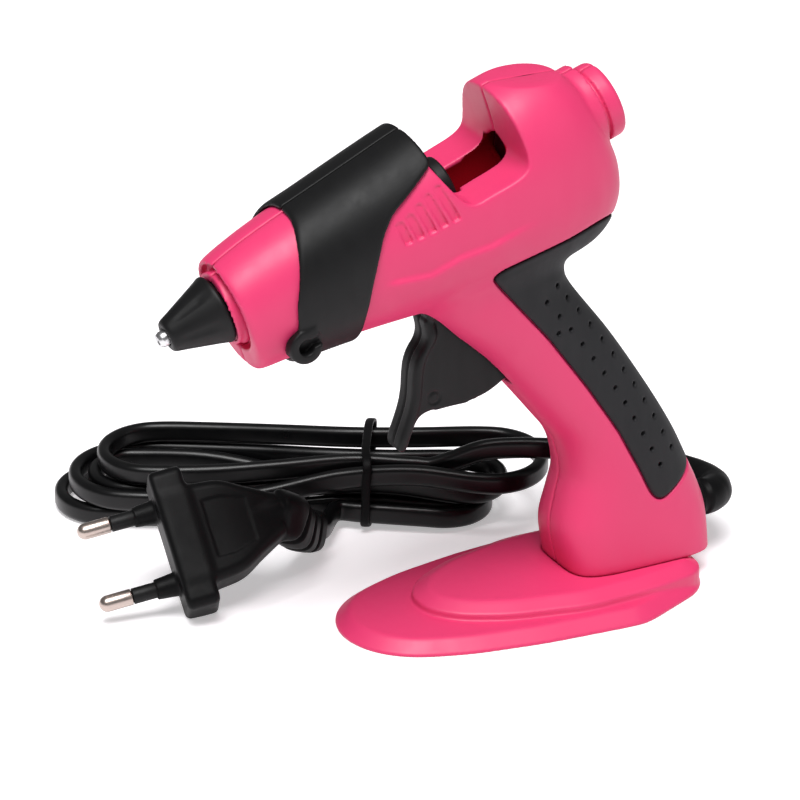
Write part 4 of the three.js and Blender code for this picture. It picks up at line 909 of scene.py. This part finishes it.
def band_form(block):
    """Half of the band round the barrel with its snap bearing."""
    size = sizes()
    barrel = barrel_form(block, 5.0)
    proud = mm(size.band_proud)
    outline = block.plate(softened(BAND, 1.6), True)
    shell = without(barrel - proud, barrel - 0.2)
    band = shared(shell, outline, 1.1)
    x, z = along(*BEARING)
    reach = np.abs(block.y) - BEARING_OUT
    eye = shared(united(block.pin(4.1, x, z), block.slab(27, 31.4, -12, -7.4), 0.6), reach, 0.8)
    eye = without(eye, barrel - 0.2)
    bore = united(block.pin(1.9, x, z), block.slab(27.4, 34, -12.3, -10.1), 0.3)
    eye = without(eye, np.maximum(bore, -(barrel - proud)), 0.4)
    band = united(band, eye, 0.5)
    return shared(band, mm(size.parting) + block.y, 0.5)


def grip_form(block):
    """Half of the soft grip cover with its dimples."""
    size = sizes()
    outer = body_outline(block)
    depth = mm(size.grip_depth)
    outline = block.plate(softened(GRIP, 2.4))
    grip = without(outer - 0.15, outer + depth - 0.3)
    grip = shared(grip, outline + 0.3, 0.9)
    for x, z in DIMPLES:
        pit = np.maximum(block.pin(mm(size.dimple), x, z), -(outer + 0.8))
        grip = without(grip, np.maximum(pit, block.y + 4), 0.2)
    return shared(grip, mm(size.parting) + block.y, 0.5)


def trigger_form(block):
    """The trigger: a lever with a broad front face, its hub and the finger that moves the feed."""
    outline = block.plate(softened(TRIGGER, 2.2))
    across = np.abs(block.y)
    web = shared(outline, across - 3.1, 0.9)
    face = without(outline, block.plate(softened([(x + 2.4, z + 0.2) for x, z in TRIGGER], 2.2)))
    front = np.interp(block.z, [46, 50, 72, 75, 80], [3.2, 3.7, 3.7, 3.9, 3.2])
    body = united(web, shared(face, across - front, 1.0), 0.5)
    seam = np.maximum(across - 0.28, -(outline + 0.5))
    body = without(body, seam, 0.2)
    body = united(body, shared(block.pin(3.6, *HUB), across - 3.9, 0.6), 0.8)
    place, drop = to_barrel(*HUB)
    top = drop + FINGER
    arm = shared(block.slab(place - 1, place + 1, drop, top), across - 3, 0.4)
    knob = shared(block.pin(1.4, *along(place, top)), across - 3, 0.3)
    body = united(body, united(arm, knob, 0.5), 0.8)
    mark = np.maximum(np.abs(block.pin(1.5, *TRIGGER_MARK)) - 0.25, 2.8 - across)
    body = without(body, mark, 0.3)
    return without(body, block.pin(1.75, *HUB), 0.2)


def foot_form(block):
    """The foot: a thin plate with a raised seat that the handle stands in, ribbed underneath."""
    plate = block.plan(softened(FOOT + [(x, -y) for x, y in FOOT[-2:0:-1]], 5.0))
    seat = block.plan(softened(SEAT + [(x, -y) for x, y in SEAT[-2:0:-1]], 4.0))
    z = block.z
    rim_slope, seat_slope = np.maximum(z - 0.7, 0) * 1.25, np.maximum(z - 5, 0) * 1.9
    base = shared(plate + rim_slope, z - FOOT_TOP, 0.6)
    step = shared(seat - 2.8 + seat_slope, z - SEAT_TOP, 0.5)
    body = shared(united(base, step, 0.7), -z, 0.3)
    under = united(np.maximum(plate + 3, z - 1.6), np.maximum(seat + 2.6, z - 4.8), 0.5)
    ribs = np.abs(block.y) - 0.9
    for x in RIBS:
        ribs = np.minimum(ribs, np.abs(block.x - x) - 0.9)
    body = without(body, without(under, ribs), 0.4)
    socket = np.maximum(handle_form(block, 4.0) - 0.25, 6.1 - z)
    body = without(body, socket, 0.2)
    return shared(body, -z, 0.2)


def plug_axes():
    """The ways back from the pins, from pin to pin, and out of the flat side."""
    forward = unit(-PIN_AXIS)
    lift = unit(np.cross(forward, PLUG_LONG))
    return forward, unit(np.cross(lift, forward)), lift


def neck_line():
    """The middle of the plug's neck, from inside the body to the cord."""
    forward = unit(-PIN_AXIS)
    points = [PLUG_ORIGIN + forward * 22, PLUG_ORIGIN + forward * 29, *NECK_PATH]
    return spline(points, 24)


def neck_form(block):
    """The neck of the plug with its ribs."""
    line = neck_line()
    run = np.linspace(0, 1, len(line))
    beats = (run * 5.2) % 1
    ribbed = (run > 0.19) * (run < 0.96)
    rib = 1.1 * step_up((0.86 - np.abs(beats - 0.5) * 2) / 0.2) * ribbed
    halves = np.column_stack([a + (b - a) * run + rib for a, b in zip(NECK_START, NECK_END)])
    return block.solid(*swept(line, halves, 3.2, 64), 2.5)


def plug_form(block):
    """The flat plug: face plate, waisted body with a shallow panel, pin bosses and ribbed neck."""
    axes = plug_axes()
    place = [block.x - PLUG_ORIGIN[0], block.y - PLUG_ORIGIN[1], block.z - PLUG_ORIGIN[2]]
    u, v, w = (sum(place[k] * axis[k] for k in range(3)) for axis in axes)
    fine = spline(PLUG_REAR, 8)
    half = np.interp(u, fine[:, 0], fine[:, 1])
    thick = np.interp(u, fine[:, 0], fine[:, 2])

    def section(a, b, corner):
        qv, qw = np.abs(v) - (a - corner), np.abs(w) - (b - corner)
        return np.hypot(np.maximum(qv, 0), np.maximum(qw, 0)) + np.minimum(np.maximum(qv, qw), 0) - corner

    face_half = PLUG_FACE["half_depth"]
    face = section(PLUG_FACE["half_width"], PLUG_FACE["half_height"], 2.4)
    front = shared(face, np.abs(u - face_half) - face_half, 1.6)
    rear = shared(section(half, thick, 2.6), np.maximum(2 - u, u - 28.5), 1.2)
    body = united(front, rear, 1.6)
    taper = 7.2 - np.maximum(u - 15, 0) * 0.32
    panel = shared(np.maximum(10.6 - u, u - 20.8), np.abs(v) - taper, 0.5)
    body = without(body, np.maximum(panel, thick - 0.25 - np.abs(w)), 0.4)
    for side in (-1, 1):
        round_off = np.hypot(v - side * PIN_OFF, w)
        boss = shared(round_off - 3 - np.minimum(u, 0) * 0.1, np.maximum(-5.6 - u, u - 3), 0.3)
        body = united(body, boss, 0.9)
        body = without(body, np.maximum(round_off - 2.15, np.maximum(-7 - u, u - 6.3)))
    return shared(united(body, neck_form(block), 1.0), -block.z, 0.2)


# ---------- Cord line ----------
def hank_point(u, v, z):
    """From places along, across and above the hank to X, Y and Z."""
    c, s = math.cos(HANK["turn"]), math.sin(HANK["turn"])
    return np.array((HANK["x"] + u * c - v * s, HANK["y"] + u * s + v * c, z))


def hank_place(turns):
    """One place on the wound hank, by the turns wound so far."""
    h = HANK
    wound = (turns - h["begin"]) / h["layer_turns"]
    layer = min(math.floor(wound + 1e-6), h["layers"] - 1)
    within = wound - layer
    climb = min(1, max(0, (within - 1 + h["climb"]) / h["climb"]))
    level = layer + (climb * climb * (3 - 2 * climb) if layer < h["layers"] - 1 else 0)
    inward = within if layer % 2 == 0 else 1 - within
    radius = h["end_radius"] - h["pitch"] * inward * h["layer_turns"]
    reach = h["half_length"] - h["end_radius"]
    phase = (turns - math.floor(turns)) * 4
    if phase < 1:
        u, v = -reach + 2 * reach * phase, -radius
    elif phase < 2:
        angle = (phase - 1) * math.pi - math.pi / 2
        u, v = reach + radius * math.cos(angle), radius * math.sin(angle)
    elif phase < 3:
        u, v = reach - 2 * reach * (phase - 2), radius
    else:
        angle = (phase - 3) * math.pi + math.pi / 2
        u, v = -reach + radius * math.cos(angle), radius * math.sin(angle)
    u += h["layer_shift"] * level * (1 if u > 0 else h["left_shift"])
    waist = math.exp(-((u - h["waist"]) / h["waist_reach"]) ** 2)
    drawn = v * (1 - h["drawn"] * waist / radius)
    return hank_point(u, drawn, h["floor"] + level * h["layer_pitch"] + h["lift"] * waist)


def hank_line():
    """Places along the wound cord, closer on the end loops than on the straight runs."""
    points, turns = [], HANK["begin"]
    while turns < HANK["end"] + 1e-6:
        points.append(hank_place(turns))
        quarter = math.floor((turns - math.floor(turns)) * 4 + 1e-6) % 4
        turns += 0.25 / (8 if quarter % 2 else 5)
    return np.array(points)


def cord_line():
    """The whole cord from the strain relief over the hank to the plug."""
    wound = hank_line()
    heading = unit(wound[-1] - wound[-2])
    lead = [wound[-1] + heading * 0.3, wound[-1] + heading * 3.7]
    lead += [hank_point(*p) for p in LEAD_OVER] + [np.array(p, float) for p in LEAD]
    start = unit(wound[1] - wound[0])
    neck = neck_line()
    out = unit(neck[-1] - neck[-2])
    tail = [wound[0] - start * 0.3, wound[0] - start * 5.4, neck[-1] + out * 5.4, neck[-1] - out * 0.5]
    parts = [spline(lead, 12)[::-1], spline(wound, 10)[::-1], spline(tail, 12)]
    return evenly(np.vstack(parts), 1.1)


def mirrored(piece, name):
    """The same piece for the other side of the parting plane."""
    mesh = piece.data.copy()
    mesh.name = name
    places = np.empty(len(mesh.vertices) * 3, np.float32)
    mesh.vertices.foreach_get("co", places)
    places[1::3] *= -1
    mesh.vertices.foreach_set("co", places)
    mesh.flip_normals()
    mesh.update()
    return in_scene(name, mesh)


def tie_strip(name):
    """The tie: a flat strip round the waist of the hank, its broad side along the cord."""
    count = 120
    c, s = super_point(TURN * np.arange(count) / count, 5)
    points = np.array([
        hank_point(HANK["waist"] + TIE["wave"] * math.sin(TIE["waves"] * k * TURN / count),
                   TIE["half_width"] * c[k], TIE["middle"] + TIE["half_height"] * s[k])
        for k in range(count)
    ])
    across = unit(hank_point(1, 0, 0) - hank_point(0, 0, 0))
    ahead = np.roll(points, -1, axis=0) - np.roll(points, 1, axis=0)
    ahead /= np.linalg.norm(ahead, axis=1)[:, None]
    outside = np.cross(ahead, across)
    sides = 16
    c, s = super_point(TURN * np.arange(sides) / sides, 3.5)
    thick = outside[:, None] * (TIE["thin"] * c)[None, :, None]
    broad = across[None, None] * (TIE["wide"] * s)[None, :, None]
    vertices, faces = hoop_closed(points[:, None] + thick + broad)
    return mesh_object(name, vertices * MM, faces.tolist())


class PieceOperator(bpy.types.Operator):
    """Shared parts of the operators that make pieces."""

    bl_options = {"REGISTER", "UNDO"}

    def execute(self, context):
        self.make()
        return {"FINISHED"}


class APPLICATOR_OT_camera(PieceOperator):
    """Sets the camera at the catalogue angle."""

    bl_idname = "applicator.camera"
    bl_label = "Camera"

    def make(self):
        data = bpy.data.cameras.new("camera")
        data.lens, data.sensor_width = 174.15, 36
        camera = in_scene("camera", data)
        back = Vector(VIEW_BACK)
        camera.location = Vector(VIEW_MIDDLE) + back * VIEW_AWAY
        camera.rotation_mode = "QUATERNION"
        camera.rotation_quaternion = back.to_track_quat("Z", "Y")
        bpy.context.scene.camera = camera


class APPLICATOR_OT_cord(PieceOperator):
    """Lays the flat cord and its tie."""

    bl_idname = "applicator.cord"
    bl_label = "Cord and tie"

    def make(self):
        size = sizes()
        path = cord_line() * MM
        corner = size.cord_thin * 0.47
        cord = flat_tube("cord", path, size.cord_thin, size.cord_wide, corner, finish_of("cord"))
        dressed(cord, "cord", "soft_black", "cord_hank", "cord_lead", "cord_tail")
        dressed(tie_strip("cord_tie_strip"), "plug", "soft_black", "cord_tie")


class APPLICATOR_OT_housing(PieceOperator):
    """Moulds the two housing halves."""

    bl_idname = "applicator.housing"
    bl_label = "Housing"

    def make(self):
        size = sizes()
        block = Block((-78, -19.5, 4), (56, 1.5, 133.5), mm(size.cell))
        body = housing_form(block)
        right = block.mesh(body, "housing_right_shell")
        drilled = body
        for x, z in screw_places():
            drilled = without(drilled, np.maximum(block.pin(3.1, x, z), block.y + 8.6), 0.4)
        left = mirrored(block.mesh(drilled, "housing_left_form"), "housing_left_shell")
        bpy.data.objects.remove(bpy.data.objects["housing_left_form"])
        dressed_pair(right, left, "body", "pink_body", "housing")


class APPLICATOR_OT_band(PieceOperator):
    """Moulds the band round the barrel."""

    bl_idname = "applicator.band"
    bl_label = "Band"

    def make(self):
        size = sizes()
        block = Block((-76, -21, 66), (-8, 1.5, 130), mm(size.fine_cell))
        right = block.mesh(band_form(block), "band_right_moulding")
        left = mirrored(right, "band_left_moulding")
        dressed_pair(right, left, "trim", "black_trim", "band")


class APPLICATOR_OT_grips(PieceOperator):
    """Moulds the soft grip covers with their dimples."""

    bl_idname = "applicator.grips"
    bl_label = "Grip covers"

    def make(self):
        size = sizes()
        block = Block((-15, -17, 20), (56, 1.5, 102), mm(size.fine_cell))
        right = block.mesh(grip_form(block), "grip_right_cover")
        left = mirrored(right, "grip_left_cover")
        dressed_pair(right, left, "grip", "soft_grip", "grip")


class APPLICATOR_OT_trigger(PieceOperator):
    """Moulds the trigger lever."""

    bl_idname = "applicator.trigger"
    bl_label = "Trigger"

    def make(self):
        size = sizes()
        block = Block((-36, -6, 43), (6, 6, 100), mm(size.fine_cell))
        piece = block.mesh(trigger_form(block), "trigger_lever")
        dressed(piece, "trim", "black_trim", "trigger", body="trigger")


class APPLICATOR_OT_foot(PieceOperator):
    """Moulds the foot that the handle stands in."""

    bl_idname = "applicator.foot"
    bl_label = "Foot"

    def make(self):
        block = Block((-46, -30, -2), (51, 30, 10), FOOT_CELL)
        piece = block.mesh(foot_form(block), "foot_plate")
        dressed(piece, "body", "pink_body", "foot")


class APPLICATOR_OT_hot_end(PieceOperator):
    """Turns the nozzle, its cap, the melt chamber and the inlet sleeve."""

    bl_idname = "applicator.hot_end"
    bl_label = "Nozzle and inlet"

    def make(self):
        nozzle = turned("nozzle_turning", softened([
            (0.8, 1), (0.8, 0.3), (1.05, 0), (1.4, 0), (1.9, 0.9), (1.9, 4),
            (4.4, 12.5), (3.4, 12.6), (3.4, 24), (2.4, 24), (0.9, 12.5),
        ], 0.22))
        dressed(nozzle, "steel", "bright_steel", "nozzle")
        cap = turned("cap_moulding", self.cap_profile(), 144, self.flutes)
        dressed(cap, "trim", "black_trim", "nozzle_cap")
        chamber = turned("chamber_casting", softened([
            (3.7, 22.6), (8.6, 22.6), (8.6, 24.6), (7.1, 24.9), (7.1, 60.7), (6.8, 61), (4, 61), (4, 30),
            (2.4, 24.3), (3.7, 24.3),
        ], 0.3))
        self.flattened(chamber)
        dressed(chamber, "cast", "cast_metal", "melt_chamber")
        sleeve = turned("inlet_bush", softened([
            (4.3, 61.3), (6.7, 61.3), (6.7, 71), (5.6, 71.6), (5.6, 73.2), (6.7, 73.8), (6.7, 76),
            (6.3, 76.4), (5.4, 76.4), (4.3, 75.2),
        ], 0.3))
        dressed(sleeve, "trim", "black_trim", "inlet_sleeve")

    def cap_profile(self):
        outer = softened([
            (2.15, 2.2), (3.3, 2), (3.9, 2.6), (8.3, 15.2), (7.9, 15.8), (6.2, 15.8), (6.2, 20),
        ], 0.6, closed=False)
        steps = evenly(outer, 0.35)
        depth = np.interp(steps[:, 1], [3, 6, 11, 14.4], [0, 1, 1, 0])
        inner = [(4.6, 20, 0), (4.6, 13.6, 0), (4.5, 12.8, 0), (2.2, 4.4, 0)]
        return np.vstack([np.column_stack([steps, depth]), inner])

    def flutes(self, place, angles):
        count = sizes().cap_flutes
        wave = np.clip(np.cos(count * angles) - 0.35, 0, 1) / 0.65
        return 0.35 * wave ** 1.2 * np.clip((place - 2.5) / 9, 0, 1) ** 0.6

    def flattened(self, chamber):
        """The flat that the heater lies on."""
        for vertex in chamber.data.vertices:
            s, w = to_barrel(vertex.co.x / MM, vertex.co.z / MM)
            if 27 < s < 55 and w < HEATER_FLAT:
                x, z = along(s, HEATER_FLAT)
                vertex.co.x, vertex.co.z = x * MM, z * MM


class APPLICATOR_OT_plug(PieceOperator):
    bl_idname = "applicator.plug"
    bl_label = "Plug"

    def make(self):
        size = sizes()
        block = Block((-88, 2, -1), (-25, 50, 42), mm(size.fine_cell))
        body = block.mesh(plug_form(block), "plug_moulding")
        dressed(body, "plug", "soft_black", "plug_body")
        pieces = [body, "cord_tie_strip"]
        forward, across, _ = plug_axes()
        for number, side in ((1, 1), (2, -1)):
            root = PLUG_ORIGIN + across * side * PIN_OFF
            bends = np.linspace(0, math.pi / 2 - 0.03, 9)
            nose = [(2.0 * math.cos(a), -17.5 - 2.0 * math.sin(a)) for a in bends]
            metal_pin = self.pin(f"pin_{number}", root, forward, [
                (1.45, 5.8), (1.45, -11.4), (1.93, -11.5), (2.0, -11.7), *nose, (0.02, -19.5)])
            dressed(metal_pin, "nickel", "nickel_pin", f"plug_pin_{number}")
            tube = self.pin(f"pin_cover_{number}", root, forward, [
                (1.6, -11.2), (1.9, -11.2), (1.95, -11), (1.95, 4.8), (1.6, 4.8)], hollow=True)
            dressed(tube, "trim", "black_trim", f"pin_sleeve_{number}")
            pieces += [metal_pin, tube]

    def pin(self, name, root, forward, profile, hollow=False, sides=40):
        """A body turned about a pin's axis, solid or hollow."""
        side = unit(np.cross(forward, (0, 0, 1)))
        lift = np.cross(side, forward)
        angles = TURN * np.arange(sides) / sides
        ring = side * np.cos(angles)[:, None] + lift * np.sin(angles)[:, None]
        rings = np.array([root + forward * u + ring * r for r, u in profile])
        vertices, faces = (hoop_closed if hollow else rings_closed)(rings)
        return mesh_object(name, vertices * MM, faces.tolist())


class APPLICATOR_OT_relief(PieceOperator):
    """Sweeps the strain relief out of the handle."""

    bl_idname = "applicator.relief"
    bl_label = "Strain relief"

    def make(self):
        line = evenly(RELIEF, 0.25)
        points = line[:, :3].copy()
        side = 4
        kernel = np.ones(2 * side + 1) / (2 * side + 1)
        for k in range(3):
            padded = np.pad(points[:, k], side, mode="edge")
            points[:, k] = np.convolve(padded, kernel, "valid")
        vertices, faces = swept(points, line[:, [3, 3]])
        piece = mesh_object("relief_moulding", vertices * MM, faces.tolist())
        dressed(piece, "plug", "soft_black", "strain_relief")


class APPLICATOR_OT_hinge(PieceOperator):
    """Turns the pin that the trigger swings on."""

    bl_idname = "applicator.hinge"
    bl_label = "Trigger pin"

    def make(self):
        carrier = point_object("hinge_place", [(HUB[0] * MM, 0, HUB[1] * MM)])
        tree = Tree("hinge_pin", {"Radius": 1.5 * MM, "Length": 12.4 * MM})
        placed = tree.on_points(tree.cylinder(40, "Radius", "Length"), math.pi / 2)
        piece = tree.closed(placed, finish_of("steel")).made_on(carrier, "trigger_hinge_pin")
        dressed(piece, "steel", "bright_steel", "trigger_pin")


class APPLICATOR_OT_screws(PieceOperator):
    """Sets the cross-recessed screws in the left housing half."""

    bl_idname = "applicator.screws"
    bl_label = "Housing screws"

    def make(self):
        carrier = point_object("screw_places", [(x * MM, 8.9 * MM, z * MM) for x, z in screw_places()])
        tree = Tree("screws", {
            "Head radius": 2.8 * MM, "Head height": 1.7 * MM, "Shank radius": 1.5 * MM,
            "Shank length": 14 * MM, "Recess": 3.4 * MM, "Recess width": 0.8 * MM,
        })
        head = tree.cylinder(40, "Head radius", "Head height")
        dome = tree.node("GeometryNodeMeshUVSphere", inputs={
            "Segments": 40, "Rings": 16, "Radius": tree.math("MULTIPLY", tree.given("Head radius"), 1.35)})
        dome = self.moved(tree, dome, (0, 0, -2.55 * MM))
        shank = self.moved(tree, tree.cylinder(24, "Shank radius", "Shank length"), (0, 0, -7.2 * MM))
        bars = []
        for turn in (0, math.pi / 2):
            extent = tree.node("ShaderNodeCombineXYZ", inputs={
                0: tree.given("Recess"), 1: tree.given("Recess width"), 2: 1.6 * MM})
            cube = tree.node("GeometryNodeMeshCube", inputs={0: extent})
            bars.append(self.moved(tree, cube, (0, 0, 0.9 * MM), turn))
        whole = tree.merged("UNION", tree.merged("INTERSECT", head, dome), shank)
        placed = tree.on_points(tree.merged("DIFFERENCE", whole, *bars), -math.pi / 2)
        screws = tree.closed(placed, finish_of("steel")).made_on(carrier, "housing_screws")
        screws.data.shade_flat()
        dressed(screws, "steel", "bright_steel", *(f"housing_screw_{k}" for k in (1, 2, 3, 4)))

    def moved(self, tree, body, way, turn=0):
        return tree.node("GeometryNodeTransform", inputs={
            0: body, "Translation": way, "Rotation": (0, 0, turn)})


class APPLICATOR_OT_carried_parts(PieceOperator):
    """Gives the parts kept from the solids their finishes."""

    bl_idname = "applicator.carried_parts"
    bl_label = "Inner parts"

    def make(self):
        finishes = {
            "ptc_heater": "ceramic", "heater_clip": "steel", "carriage": "trim", "clamp_jaw": "steel",
            "return_spring": "steel", "lead_wire_live": "live", "lead_wire_neutral": "neutral",
        }
        for node, key in finishes.items():
            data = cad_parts[node].data
            data.materials.clear()
            data.materials.append(finish_of(key))


class APPLICATOR_OT_studio(PieceOperator):
    """Sets the pale floor, the soft lamps and the world."""

    bl_idname = "applicator.studio"
    bl_label = "Studio"

    def make(self):
        bpy.context.scene.view_settings.view_transform = "Standard"
        far = 4.0
        corners = [(-far, -far, 0), (far, -far, 0), (far, far, 0), (-far, far, 0)]
        floor = mesh_object("floor", corners, [(0, 1, 2, 3)])
        floor.data.materials.append(floor_finish(tuple(bpy.context.scene.applicator_finish.floor)))
        for lamp in LAMPS:
            self.lamp(*lamp)
        world = bpy.context.scene.world or bpy.data.worlds.new("studio")
        bpy.context.scene.world = world
        world.use_nodes = True
        sky = world.node_tree.nodes["Background"]
        sky.inputs["Color"].default_value = (1, 1, 1, 1)
        sky.inputs["Strength"].default_value = SKY_STRENGTH

    def lamp(self, name, place, width, power):
        data = bpy.data.lights.new(name, "AREA")
        data.shape, data.size, data.energy = "DISK", width, power
        lamp = in_scene(name, data)
        lamp.location = place
        aim = Vector(LAMP_AIM) - Vector(place)
        lamp.rotation_mode = "QUATERNION"
        lamp.rotation_quaternion = aim.to_track_quat("-Z", "Y")


STEPS = (
    APPLICATOR_OT_camera, APPLICATOR_OT_cord, APPLICATOR_OT_plug, APPLICATOR_OT_housing, APPLICATOR_OT_band,
    APPLICATOR_OT_grips, APPLICATOR_OT_trigger, APPLICATOR_OT_foot, APPLICATOR_OT_hot_end,
    APPLICATOR_OT_relief, APPLICATOR_OT_hinge, APPLICATOR_OT_screws, APPLICATOR_OT_carried_parts,
    APPLICATOR_OT_studio,
)


class APPLICATOR_PT_panel(bpy.types.Panel):
    """Lists the sizes, the colours and the pieces."""

    bl_label = "Glue applicator"
    bl_idname = "APPLICATOR_PT_panel"
    bl_space_type = "VIEW_3D"
    bl_region_type = "UI"
    bl_category = "Applicator"

    def draw(self, context):
        for group in (context.scene.applicator_sizes, context.scene.applicator_finish):
            box = self.layout.box()
            for key in group.bl_rna.properties.keys():
                if key not in ("rna_type", "name"):
                    box.prop(group, key)
        for step in STEPS:
            self.layout.operator(step.bl_idname)


CLASSES = (ApplicatorSizes, ApplicatorFinish, *STEPS, APPLICATOR_PT_panel)


def register():
    for item in CLASSES:
        bpy.utils.register_class(item)
    bpy.types.Scene.applicator_sizes = PointerProperty(type=ApplicatorSizes)
    bpy.types.Scene.applicator_finish = PointerProperty(type=ApplicatorFinish)


def unregister():
    del bpy.types.Scene.applicator_sizes
    del bpy.types.Scene.applicator_finish
    for item in reversed(CLASSES):
        bpy.utils.unregister_class(item)


def main():
    register()
    for step in STEPS:
        group, name = step.bl_idname.split(".")
        getattr(getattr(bpy.ops, group), name)()


if __name__ == "__main__":
    main()
